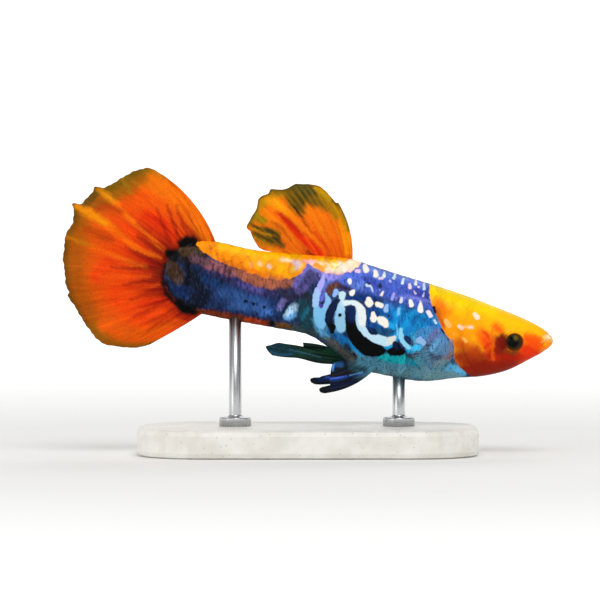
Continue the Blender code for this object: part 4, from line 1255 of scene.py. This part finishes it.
# Soft fin: skin thin enough to let light through, thicker and darker at the rays, with a satin wet gloss.
DUST_GRAIN = 0.14
fan, tree = new_material("orange_fin_skin")
ray = add_node(tree, "Attribute", output="Fac", attribute_name="ray")
outwards = add_node(tree, "Attribute", output="Fac", attribute_name="reach")
run_along = add_node(tree, "CombineXYZ", {0: ray, 1: outwards})
streak = add_node(tree, "TexNoise", {"Vector": run_along, "Scale": 1.6, "Detail": 3.0, "Roughness": 0.6})
fine = add_node(tree, "TexNoise", {"Vector": run_along, "Scale": 3.2, "Detail": 1.0})
colour = add_node(tree, "Attribute", output="Color", attribute_name="tint")
# Dark streaks along the rays, which fade outwards: partly the fin's own, partly painted shade between the
# rays near the root. Then light ones, which are painted highlights, then fine dark dust.
fading = add_node(tree, "MapRange", {0: outwards, 2: 0.75, 3: 1.0, 4: 0.25}, **SOFT)
dark = add_node(tree, "MapRange", {0: streak, 1: 0.46, 2: 0.64, 4: 0.8}, **SOFT)
dark = add_node(tree, "Math", {0: dark, 1: fading}, operation="MULTIPLY")
darker = add_node(tree, "Mix", {0: 1.0, 6: colour, 7: linear("#c05050")}, **BLEND, blend_type="MULTIPLY")
colour = add_node(tree, "Mix", {0: dark, 6: colour, 7: darker}, **BLEND)
# The light streaks are painted highlights.
light = add_node(tree, "MapRange", {0: fine, 1: 0.5, 2: 0.7, 4: 0.22}, **SOFT)
lighter = add_node(tree, "Mix", {0: 1.0, 6: colour, 7: colour}, **BLEND, blend_type="ADD")
colour = add_node(tree, "Mix", {0: light, 6: colour, 7: lighter}, **BLEND)
where = add_node(tree, "TexCoord", output="Object")
dust = add_node(tree, "TexNoise", {"Vector": where, "Scale": 1 / (DUST_GRAIN * MM), "Roughness": 0.6})
dust = add_node(tree, "MapRange", {0: dust, 1: 0.5, 2: 0.72, 4: 0.28}, **SOFT)
darker = add_node(tree, "Mix", {0: 1.0, 6: colour, 7: linear("#a05a3c")}, **BLEND, blend_type="MULTIPLY")
colour = add_node(tree, "Mix", {0: dust, 6: colour, 7: darker}, **BLEND)
ridges = add_node(tree, "Bump", {"Height": fine, "Strength": 0.35, "Distance": 0.05 * MM})
front_lit = add_node(
    tree,
    "BsdfPrincipled",
    {
        "Base Color": colour,
        "Roughness": 0.5,
        "Specular IOR Level": 0.07,
        "Coat Weight": 0.03,
        "Coat Roughness": 0.2,
        "Normal": ridges,
    },
)
through_lit = add_node(tree, "BsdfTranslucent", {"Color": colour})
shader = add_node(tree, "MixShader", {0: 0.30, 1: front_lit, 2: through_lit})
add_node(tree, "OutputMaterial", {0: shader})

share = np.linspace(0, 1, CAUDAL_RAYS * COLUMNS_PER_RAY + 1)
root_line = tail_plate(share * 2 - 1, 0.1)
# Between two rays the margin is cut back a little, in two waves.
turn = math.pi * share * CAUDAL_RAYS
cut = CAUDAL_NOTCH[0] * np.abs(np.sin(turn)) + CAUDAL_NOTCH[1] * np.sin(4 * turn)
margin_line = notched(root_line, along(CAUDAL_MARGIN, share), cut)
middle, across, reach = sheet(
    root_line, margin_line, CAUDAL_ROWS, CAUDAL_BOW, folds=CAUDAL_FOLDS, sunk=CAUDAL_SUNK
)
grown = np.clip(reach, 0, 1)
length = stretch(CAUDAL_MARGIN)[1]
for knot in CAUDAL_TIPS:
    tip_share = length[int(knot / (len(CAUDAL_MARGIN) - 1) * (len(length) - 1))]
    middle[..., 1] -= TIP_TURN * bump(across - tip_share, 0.014) * grown**1.2
high = forks(across, grown, CAUDAL_RAYS)
web, root, rays, taper = CAUDAL_HALF
half = web + root * (1 - grown) ** 2 + (rays - taper * grown) * high
u, v = seen(posed(middle))
tint = graded(
    reach + 0 * across,
    [
        (0.0, "#7a1604"), (0.10, "#b02604"), (0.24, "#dc3c04"), (0.40, "#f24c04"),
        (0.62, "#f25a04"), (0.80, "#e06404"), (0.92, "#b86806"), (0.98, "#7c5408"), (1.0, "#5c4408"),
    ],
)
tint = painted(tint, *ragged(u, v, FIN_RAGGED), CAUDAL_WASHES)
values = {"tint": tint, "ray": across * CAUDAL_RAYS + 0 * reach, "reach": reach + 0 * across}
tail_fin = two_faced("tail_fin", middle, half, fan, values)
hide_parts("caudal_fin")


# The dorsal fin: made as the tail fin is, and rooted in the back. Its rays lean backwards, more towards the
# rear, and its top is dusted with olive.

DORSAL_ROOT = (14.90, 7.15)
DORSAL_MARGIN = [
    (12.78, 8.55), (12.48, 8.56), (11.95, 8.99), (11.42, 9.43), (10.65, 9.74), (9.85, 9.69), (8.98, 9.57),
    (8.48, 9.34), (7.94, 8.89), (7.25, 8.76), (6.65, 8.62), (6.53, 8.27), (5.79, 7.67), (5.80, 6.90),
    (5.51, 6.02), (5.21, 5.06), (5.54, 4.76), (5.83, 4.29), (6.30, 3.70), (6.72, 3.36),
]
DORSAL_RAYS = 12
DORSAL_CROWDING = 1.5
RAY_GOLD = 0.20
RIM_OLIVE = 0.7
DORSAL_ROWS = 80
DORSAL_BOW = (-0.15, 0.04)
DORSAL_FOLDS = (0.18, 2.5)
DORSAL_NOTCH = 0.008
DORSAL_HALF = (0.04, 0.12, 0.08, 0.04)
DORSAL_WASHES = [
    ("#fc8205", 12, (258, 212, 12), (280, 212, 15), (305, 225, 20), (335, 235, 18)),
    ("#c8900a", 8, (250, 216, 5), (258, 206, 6), (270, 196, 6), (282, 193, 5)),
    ("#a08a0a", 6, (248, 222, 4), (255, 215, 5), (264, 221, 3.5)),
    ("#fdae04", 7, (268, 200, 3), (276, 204, 4), (288, 213, 3)),
    ("#fc8c05", 7, (262, 212, 3), (274, 220, 4), (290, 237, 3)),
    # streaks of red and gold along the rays
    ("#ee3804", 6, (277, 213, 2), (290, 225, 4), (303, 238, 5), (320, 253, 4.6)),
    ("#cc2c04", 4, (280, 214, 1.4), (291, 224, 2.2), (302, 235, 1.8)),
    ("#f24404", 6, (300, 216, 1.2), (312, 232, 3.2), (327, 251, 3.4)),
    ("#e84404", 5, (304, 222, 1), (318, 240, 1.6), (331, 255, 1.2)),
    ("#f45c04", 6, (318, 214, 1.4), (328, 232, 2.4), (338, 251, 2)),
    ("#e85804", 5, (334, 214, 0.8), (340, 230, 1.4), (344, 248, 1.2)),
    ("#fd9006", 5, (288, 212, 1.6), (300, 224, 2.0), (316, 240, 1.8), (331, 255, 1.2)),
    ("#fd9806", 5, (306, 204, 1.6), (314, 216, 2.2), (322, 230, 1.6)),
    ("#fd8c06", 5, (317, 209, 1.2), (322, 220, 1.6), (330, 238, 1.2)),
    ("#fda404", 7, (340, 214, 4), (345, 230, 4.5), (348, 252, 3.5)),
    ("#c04c08", 4, (272, 222, 1), (281, 228, 1.4), (291, 240, 1.2)),
    # olive dusting at the top and behind
    ("#8a6c0c", 7, (270, 190, 3), (278, 190, 4), (286, 190, 4)),
    ("#6a560e", 7, (290, 190, 6), (293, 199, 7), (298, 207, 6), (302, 212, 3)),
    ("#54460e", 6, (298, 197, 5), (303, 203, 4)),
    ("#54480e", 6, (300, 195, 6), (310, 197, 6), (318, 199, 5)),
    ("#34461e", 4, (295, 187, 4), (304, 189, 6), (312, 191, 5)),
    ("#7a5e10", 7, (312, 201, 5), (320, 202, 5), (326, 208, 4)),
    ("#b0800a", 7, (322, 196, 4), (330, 206, 4), (336, 216, 3)),
    ("#c8a808", 4, (316, 188, 2), (324, 194, 2), (330, 201, 2)),
    ("#d8a008", 5, (335, 206, 3), (342, 216, 3), (347, 230, 1.5)),
    ("#5c5614", 4, (334, 201, 2), (341, 207, 2), (346, 217, 1.8), (349, 230, 1.2)),
    ("#fd8206", 3, (301, 212, 0.6), (306, 221, 1.4), (312, 230, 1.6)),
    ("#fd8406", 3, (307, 204, 0.8), (312, 214, 1.8), (318, 226, 2)),
    ("#fd8406", 3, (316, 211, 0.6), (320, 218, 1.2), (325, 229, 1.6)),
    ("#f87c06", 3, (323, 208, 0.6), (328, 216, 1.2), (334, 229, 1.6)),
    ("#2e1c10", 3, (295, 207, 1.6), (299, 213, 1.8), (303, 219, 0.8)),
    ("#a82404", 3, (303, 219, 0.8), (307, 225, 1.0), (312, 233, 0.6)),
    ("#a02004", 3, (307, 252, 1.4), (313, 255, 1.2), (320, 258, 0.7)),
    ("#4a4410", 4, (250, 224, 1), (258, 228, 2.2), (268, 231, 3.4), (276, 233, 3), (279, 237, 2)),
    ("#5a4a10", 5, (254, 233, 2), (264, 238, 4), (276, 241, 4), (282, 245, 2.5)),
    ("#3e3a10", 3, (268, 236, 1), (276, 240, 2), (283, 247, 1.4)),
    ("#c09a0a", 2.5, (252, 228.5, 0.8), (262, 232, 0.8), (272, 236, 0.6)),
    ("#a87c08", 4, (253, 236, 1.4), (263, 242, 2), (274, 246, 1.6)),
    ("#d87c08", 5, (259, 244, 2), (268, 248, 2.4), (280, 251, 2)),
    ("#fd9404", 5, (270, 251, 3), (284, 254, 3.5), (300, 258, 3)),
]

share = np.linspace(0, 1, DORSAL_RAYS * COLUMNS_PER_RAY + 1)
root_x = DORSAL_ROOT[0] + (DORSAL_ROOT[1] - DORSAL_ROOT[0]) * share**DORSAL_CROWDING
root_line = np.stack([root_x, section(section_at(root_x))[2] + 0.1], -1)
cut = DORSAL_NOTCH * np.abs(np.sin(math.pi * share * DORSAL_RAYS))
margin_line = notched(root_line, along(DORSAL_MARGIN, share), cut)
middle, across, reach = sheet(root_line, margin_line, DORSAL_ROWS, DORSAL_BOW, folds=DORSAL_FOLDS)
grown = np.clip(reach, 0, 1)
high = forks(across, grown, DORSAL_RAYS)
web, root, rays, taper = DORSAL_HALF
half = web + root * (1 - grown) ** 2 + (rays - taper * grown) * high
u, v = seen(posed(middle))
tint = painted(all_over("#f07206", u), *ragged(u, v, FIN_RAGGED), DORSAL_WASHES)
# The rays are golden lines over the redder web between them, and the very edge is olive.
tint = laid_over(tint, linear("#ffae06"), RAY_GOLD * high)
tint = laid_over(tint, linear("#5c4c0a"), RIM_OLIVE * step(reach + 0 * across, 0.955, 0.99))
# Its rays count on from 40 and its reach starts further out, so that its streaks aren't the tail fin's.
values = {
    "tint": tint,
    "ray": across * DORSAL_RAYS + 40 + 0 * reach,
    "reach": reach * 0.6 + 0.35 + 0 * across,
}
back_fin = two_faced("back_fin", middle, half, fan, values)
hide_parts("dorsal_fin")


# The male's anal fin, a dark pointed rod of bundled rays, and the two dark pelvic fins beside the keel.
# All three grow from the belly.

ANAL_ROOT = (16.40, 13.90)
ANAL_MARGIN = [
    (9.47, -5.72), (9.05, -5.42), (8.78, -5.05), (9.22, -4.82), (9.83, -4.52), (10.40, -4.58), (10.89, -4.66),
    (11.95, -4.54), (11.92, -4.12),
]
ANAL_RAYS = 7
ANAL_BOW = (0.05, -0.06)
ANAL_HALF = (0.10, 0.16, 0.12, 0.06)
PELVIC_ROOT = (18.60, 16.30)
PELVIC_OFF = 0.95
PELVIC_SWING = 14.0
PELVIC_TIPS = {"right": (14.18, -7.84), "left": (13.26, -7.33)}
# The margin's knots: the round tip, counted from its middle, and then the rear edge up to the belly.
PELVIC_ROUND = [
    (0.35, -0.22), (-0.02, -0.24), (-0.22, -0.08), (-0.20, 0.12), (0.02, 0.22), (0.40, 0.18), (0.68, 0.45),
]
PELVIC_REAR = [(14.72, -6.75), (14.74, -6.10), (14.82, -5.50), (15.10, -5.20)]
PELVIC_RAYS = 6
PELVIC_BOW = (0.18, -0.05)
PELVIC_SUNK = 0.14
PELVIC_HALF = (0.05, 0.12, 0.10, 0.05)
DARK_ROWS = 70
ANAL_WASHES = [
    ("#0b303a", 6, (268, 347, 5), (282, 349, 6), (292, 351, 4)),
    ("#164c68", 2.5, (271, 352, 1.2), (280, 355, 1.2), (292, 354, 1)),
    ("#103c24", 4, (300, 352, 3), (318, 353, 4), (338, 353, 5)),
    ("#051408", 2.5, (302, 346, 2), (312, 347, 2), (324, 348, 1)),
    ("#041006", 2.5, (306, 354, 1), (322, 355, 1.4), (338, 357, 1)),
    ("#041006", 2.5, (308, 359, 1), (322, 362, 1.5), (332, 363, 1)),
    ("#2c5c6c", 2, (290, 350, 0.8), (304, 353, 0.8), (320, 357, 0.6)),
]
PELVIC_WASHES = [
    ("#1c3a44", 6, (352, 368, 3), (364, 370, 3)),
    ("#164e84", 4, (334, 364, 2.6), (341, 365, 2.4)),
    # a painted highlight along the near fin's upper rim
    ("#4a94e8", 2, (333.5, 363, 1.0), (332.5, 370, 1.0)),
    ("#12100c", 3, (333, 375, 2), (345, 374, 1.6), (354, 372, 1)),
    ("#12306e", 2.5, (314, 381.6, 1.0), (322, 381, 1.5), (336, 379.5, 1.8), (350, 376.5, 1.4),
     (366, 373, 0.7)),
    # a painted highlight along the first ray
    ("#4468e0", 1.6, (326, 379, 0.5), (336, 378, 0.9), (346, 376.3, 0.6)),
    ("#5a94c8", 2, (350, 375.5, 0.6), (362, 373, 0.6)),
    ("#06080a", 3, (308, 381, 3.4), (314.5, 381, 2.4)),
    ("#06080a", 3, (320, 389, 3), (327, 390, 2)),
    ("#060f30", 3, (332, 387, 2), (346, 384, 2), (358, 380, 1.4)),
]

# Dark fin: the same thin skin, packed with black cells over which a little blue shines.
SHINE_GRAIN = 0.12
dark_web, tree = new_material("dark_fin_skin")
ray = add_node(tree, "Attribute", output="Fac", attribute_name="ray")
outwards = add_node(tree, "Attribute", output="Fac", attribute_name="reach")
outwards = add_node(tree, "Math", {0: outwards, 1: 1.4}, operation="MULTIPLY")
run_along = add_node(tree, "CombineXYZ", {0: ray, 1: outwards})
fine = add_node(tree, "TexNoise", {"Vector": run_along, "Scale": 3.0, "Detail": 3.0, "Roughness": 0.6})
colour = add_node(tree, "Attribute", output="Color", attribute_name="tint")
dark = add_node(tree, "MapRange", {0: fine, 1: 0.5, 2: 0.7, 4: 0.6}, **SOFT)
colour = add_node(tree, "Mix", {0: dark, 6: colour, 7: linear("#04070c")}, **BLEND)
where = add_node(tree, "TexCoord", output="Object")
shine = add_node(tree, "TexNoise", {"Vector": where, "Scale": 1 / (SHINE_GRAIN * MM)})
shine = add_node(tree, "MapRange", {0: shine, 1: 0.55, 2: 0.75, 4: 0.14}, **SOFT)
colour = add_node(tree, "Mix", {0: shine, 6: colour, 7: linear("#3f74b4")}, **BLEND)
ridges = add_node(tree, "Bump", {"Height": fine, "Strength": 0.35, "Distance": 0.05 * MM})
shader = add_node(
    tree,
    "BsdfPrincipled",
    {
        "Base Color": colour,
        "Roughness": 0.45,
        "Specular IOR Level": 0.07,
        "Coat Weight": 0.04,
        "Coat Roughness": 0.15,
        "Normal": ridges,
    },
)
add_node(tree, "OutputMaterial", {0: shader})

share = np.linspace(0, 1, ANAL_RAYS * COLUMNS_PER_RAY + 1)
root_x = ANAL_ROOT[0] + (ANAL_ROOT[1] - ANAL_ROOT[0]) * share
root_line = np.stack([root_x, underside(root_x) - 0.1], -1)
middle, across, reach = sheet(root_line, along(ANAL_MARGIN, share), DARK_ROWS, ANAL_BOW)
grown = np.clip(reach, 0, 1)
# The lower edge is drawn in behind its middle and fuller near the belly.
sag = 0.26 * bump(middle[..., 0] - 11.9, 1.1) - 0.14 * bump(middle[..., 0] - 14.2, 1.1)
middle[..., 2] += sag * (1 - across) * grown
high = forks(across, reach, ANAL_RAYS, 0.9, 1.2)
web, root, rays, taper = ANAL_HALF
half = web + root * (1 - grown) + (rays - taper * grown) * high
u, v = seen(posed(middle))
tint = painted(all_over("#092a1c", u), u, v, ANAL_WASHES)
values = {"tint": tint, "ray": across * ANAL_RAYS + 0 * reach, "reach": reach + 0 * across}
anal_fin = two_faced("anal_fin", middle, half, dark_web, values)
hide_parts("gonopodium")

share = np.linspace(0, 1, PELVIC_RAYS * COLUMNS_PER_RAY + 1)
root_x = PELVIC_ROOT[0] + (PELVIC_ROOT[1] - PELVIC_ROOT[0]) * share
root_line = np.stack([root_x, underside(root_x, PELVIC_OFF) - 0.1], -1)
for side, word in ((-1, "right"), (1, "left")):
    tip_x, tip_z = PELVIC_TIPS[word]
    margin = [(tip_x + a, tip_z + b) for a, b in PELVIC_ROUND] + PELVIC_REAR
    middle, across, reach = sheet(
        root_line, along(margin, share), DARK_ROWS, PELVIC_BOW, PELVIC_SWING, PELVIC_OFF, sunk=PELVIC_SUNK
    )
    grown = np.clip(reach, 0, 1)
    high = forks(across, grown, PELVIC_RAYS, 0.5, 1.2)
    web, root, rays, taper = PELVIC_HALF
    half = web + root * (1 - grown) + (rays - taper * grown) * high
    u, v = seen(posed(middle))
    # Near the root the fin has the belly's colours.
    tint = painted(all_over("#3f6d7e", u), u, v, TRUNK_WASHES)
    tint = laid_over(tint, linear("#050c1a"), step(reach + 0 * across, 0.08, 0.42))
    tint = painted(tint, u, v, PELVIC_WASHES)
    values = {"tint": tint, "ray": across * PELVIC_RAYS + 9 * side + 0 * reach, "reach": reach + 0 * across}
    pelvic = two_faced("belly_fin_" + word, middle, half, dark_web, values, side)
    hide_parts("pelvic_fin_" + word)


# The breast fins: clear as glass but for their fine rays, each on a short fleshy root behind the gill cover.

PECTORAL_ROOT_X = 25.0
PECTORAL_ROOT_Z = (-1.45, -2.65)
PECTORAL_MARGIN = [(22.60, -0.40), (21.10, -1.10), (20.75, -2.60), (21.60, -4.00), (23.10, -4.55)]
PECTORAL_SWING = 24.0
PECTORAL_STAND_OFF = 0.79
PECTORAL_SUNK = 0.35
PECTORAL_BOW = (0.05, -0.05)
PECTORAL_NOTCH = 0.01
PECTORAL_HALF = (0.02, 0.16, 0.04, 0.025)
PECTORAL_RAYS = 13
PECTORAL_ROWS = 70

# Clear fin: almost glass, with faintly milky rays. Only its root is flesh and has the flank's colours.
clear_web, tree = new_material("clear_fin_skin")
near_root = add_node(tree, "Attribute", output="Fac", attribute_name="reach")
near_root = add_node(tree, "MapRange", {0: near_root, 1: 0.02, 2: 0.20, 3: 0.9, 4: 0.0}, **SOFT)
colour = add_node(tree, "Attribute", output="Color", attribute_name="tint")
colour = add_node(tree, "Mix", {0: near_root, 6: linear("#c9d6de"), 7: colour}, **BLEND)
alpha = add_node(tree, "Attribute", output="Fac", attribute_name="ray_high")
alpha = add_node(tree, "Math", {0: alpha, 1: 0.07}, operation="MULTIPLY")
alpha = add_node(tree, "Math", {0: alpha, 1: 0.015}, operation="ADD")
alpha = add_node(tree, "Math", {0: alpha, 1: near_root}, operation="MAXIMUM")
shader = add_node(
    tree,
    "BsdfPrincipled",
    {"Base Color": colour, "Roughness": 0.3, "Specular IOR Level": 0.3, "Alpha": alpha},
)
add_node(tree, "OutputMaterial", {0: shader})

share = np.linspace(0, 1, PECTORAL_RAYS * COLUMNS_PER_RAY + 1)
root_z = PECTORAL_ROOT_Z[0] + (PECTORAL_ROOT_Z[1] - PECTORAL_ROOT_Z[0]) * share
root_line = np.stack([np.full(share.shape, PECTORAL_ROOT_X), root_z], -1)
cut = PECTORAL_NOTCH * np.abs(np.sin(math.pi * share * PECTORAL_RAYS))
margin_line = notched(root_line, along(PECTORAL_MARGIN, share), cut)
skin_y = float(flank(np.array(PECTORAL_ROOT_X), np.array(sum(PECTORAL_ROOT_Z) / 2)))
off = skin_y + PECTORAL_STAND_OFF
for side, word in ((-1, "right"), (1, "left")):
    middle, across, reach = sheet(
        root_line, margin_line, PECTORAL_ROWS, PECTORAL_BOW, PECTORAL_SWING, off, sunk=0.0
    )
    # The first stretch is the fleshy root, which comes out of the flank and swings to the fin's own line.
    middle[..., 1] -= (PECTORAL_STAND_OFF + PECTORAL_SUNK) * (1 - step(reach, 0.0, 0.30))
    high = forks(across, reach, PECTORAL_RAYS, 0.5, 1.2)
    web, root, rays, taper = PECTORAL_HALF
    half = web + root * (1 - step(reach, 0.0, 0.22)) + (rays - taper * reach) * high
    u, v = seen(posed(middle))
    tint = painted(all_over("#5a8cb4", u), u, v, TRUNK_WASHES)
    values = {"tint": tint, "ray_high": high, "reach": reach + 0 * across}
    pectoral = two_faced("breast_fin_" + word, middle, half, clear_web, values, side)
    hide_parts("pectoral_fin_" + word)


# The stand, which the photograph doesn't have: a base of cast stone-coloured resin, and two polished steel
# rods with round feet that reach up into the belly and the stalk.

ROD_RADIUS = 0.55
ROD_FOOT_RADIUS = 1.4
ROD_FOOT_HEIGHT = 0.8
ROD_SUNK = 0.65
ROD_SPOKES = 64
FOOT_EDGE = 0.15
FOOT_SUNK = 0.05
FILLET = 0.3
MOTTLE_GRAIN = 2.2
SPECK_SPACING = 0.55
PORE_GRAIN = 0.25
DRAWN_LINES = 0.12

# Cast resin: smooth but unpolished, faintly clouded, with dark specks as in stone.
resin, tree = new_material("cast_resin")
where = add_node(tree, "TexCoord", output="Object")
mottle = add_node(
    tree, "TexNoise", {"Vector": where, "Scale": 1 / (MOTTLE_GRAIN * MM), "Detail": 4.0, "Roughness": 0.6}
)
cloud = add_node(tree, "MapRange", {0: mottle, 1: 0.35, 2: 0.65}, **SOFT)
colour = add_node(tree, "Mix", {0: cloud, 6: linear("#dcd9d1"), 7: linear("#e9e7e1")}, **BLEND)
specks = add_node(tree, "TexVoronoi", {"Vector": where, "Scale": 1 / (SPECK_SPACING * MM)})
specks = add_node(tree, "MapRange", {0: specks, 1: 0.05, 2: 0.16, 3: 0.5, 4: 0.0}, **SOFT)
colour = add_node(tree, "Mix", {0: specks, 6: colour, 7: linear("#8f8b82")}, **BLEND)
pores = add_node(tree, "TexNoise", {"Vector": where, "Scale": 1 / (PORE_GRAIN * MM), "Detail": 3.0})
pores = add_node(tree, "Bump", {"Height": pores, "Strength": 0.2, "Distance": 0.03 * MM})
gloss = add_node(tree, "MapRange", {0: mottle, 1: 0.3, 2: 0.7, 3: 0.38, 4: 0.52}, **SOFT)
shader = add_node(tree, "BsdfPrincipled", {"Base Color": colour, "Roughness": gloss, "Normal": pores})
add_node(tree, "OutputMaterial", {0: shader})

# Drawn steel: bright, with lines along the rod where it went through the die. They are drawn wider than real
# ones, so that they show.
steel, tree = new_material("drawn_steel")
where = add_node(tree, "TexCoord", output="Object")
drawn = add_node(tree, "Mapping", {"Vector": where, "Scale": (1.0, 1.0, 0.04)})
lines = add_node(tree, "TexNoise", {"Vector": drawn, "Scale": 1 / (DRAWN_LINES * MM)})
colour = add_node(tree, "Mix", {0: lines, 6: linear("#a9abad"), 7: linear("#c6c8ca")}, **BLEND)
gloss = add_node(tree, "MapRange", {0: lines, 1: 0.3, 2: 0.7, 3: 0.22, 4: 0.36}, **SOFT)
shader = add_node(tree, "BsdfPrincipled", {"Base Color": colour, "Metallic": 1.0, "Roughness": gloss})
add_node(tree, "OutputMaterial", {0: shader})

bpy.data.objects["stand_base"].data.materials.clear()
bpy.data.objects["stand_base"].data.materials.append(resin)
base_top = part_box("stand_base")[1][2] / MM
for word in ("front", "rear"):
    low, top_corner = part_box("stand_rod_" + word)
    rod_x = (low[0] + top_corner[0]) / 2 / MM
    top = top_corner[2] / MM + ROD_SUNK
    foot, shoulder = base_top - FOOT_SUNK, base_top + ROD_FOOT_HEIGHT
    # A turned profile: the foot with its rounded edge, a fillet, and the rod.
    bend = np.linspace(0, math.pi / 2, 9)
    edge = np.stack([np.cos(bend) - 1, np.sin(bend) - 1], -1) * FOOT_EDGE + [ROD_FOOT_RADIUS, shoulder]
    fillet = np.stack([1 - np.sin(bend), 1 - np.cos(bend)], -1) * FILLET + [ROD_RADIUS, shoulder]
    profile = np.vstack([[(ROD_FOOT_RADIUS, foot)], edge, fillet, [(ROD_RADIUS, top)]])
    turn = np.linspace(0, 2 * math.pi, ROD_SPOKES, endpoint=False)[None, :]
    out, up = profile[:, :1], profile[:, 1:] + 0 * turn
    points = np.stack([rod_x + out * np.cos(turn), out * np.sin(turn), up], -1).reshape(-1, 3)
    number = ring_closed(np.arange(len(points)).reshape(len(profile), -1))
    below = np.full(ROD_SPOKES, len(points))
    caps = [
        np.stack([below, number[0, 1:], number[0, :-1]], -1),
        np.stack([below + 1, number[-1, :-1], number[-1, 1:]], -1),
    ]
    points = np.vstack([points, [[rod_x, 0, foot], [rod_x, 0, top]]])
    rod = new_piece("stand_rod_" + word + "_steel", points, [quads(number)[:, ::-1]] + caps, steel)
    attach(rod, "root")
    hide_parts("stand_rod_" + word)

bpy.context.view_layer.update()
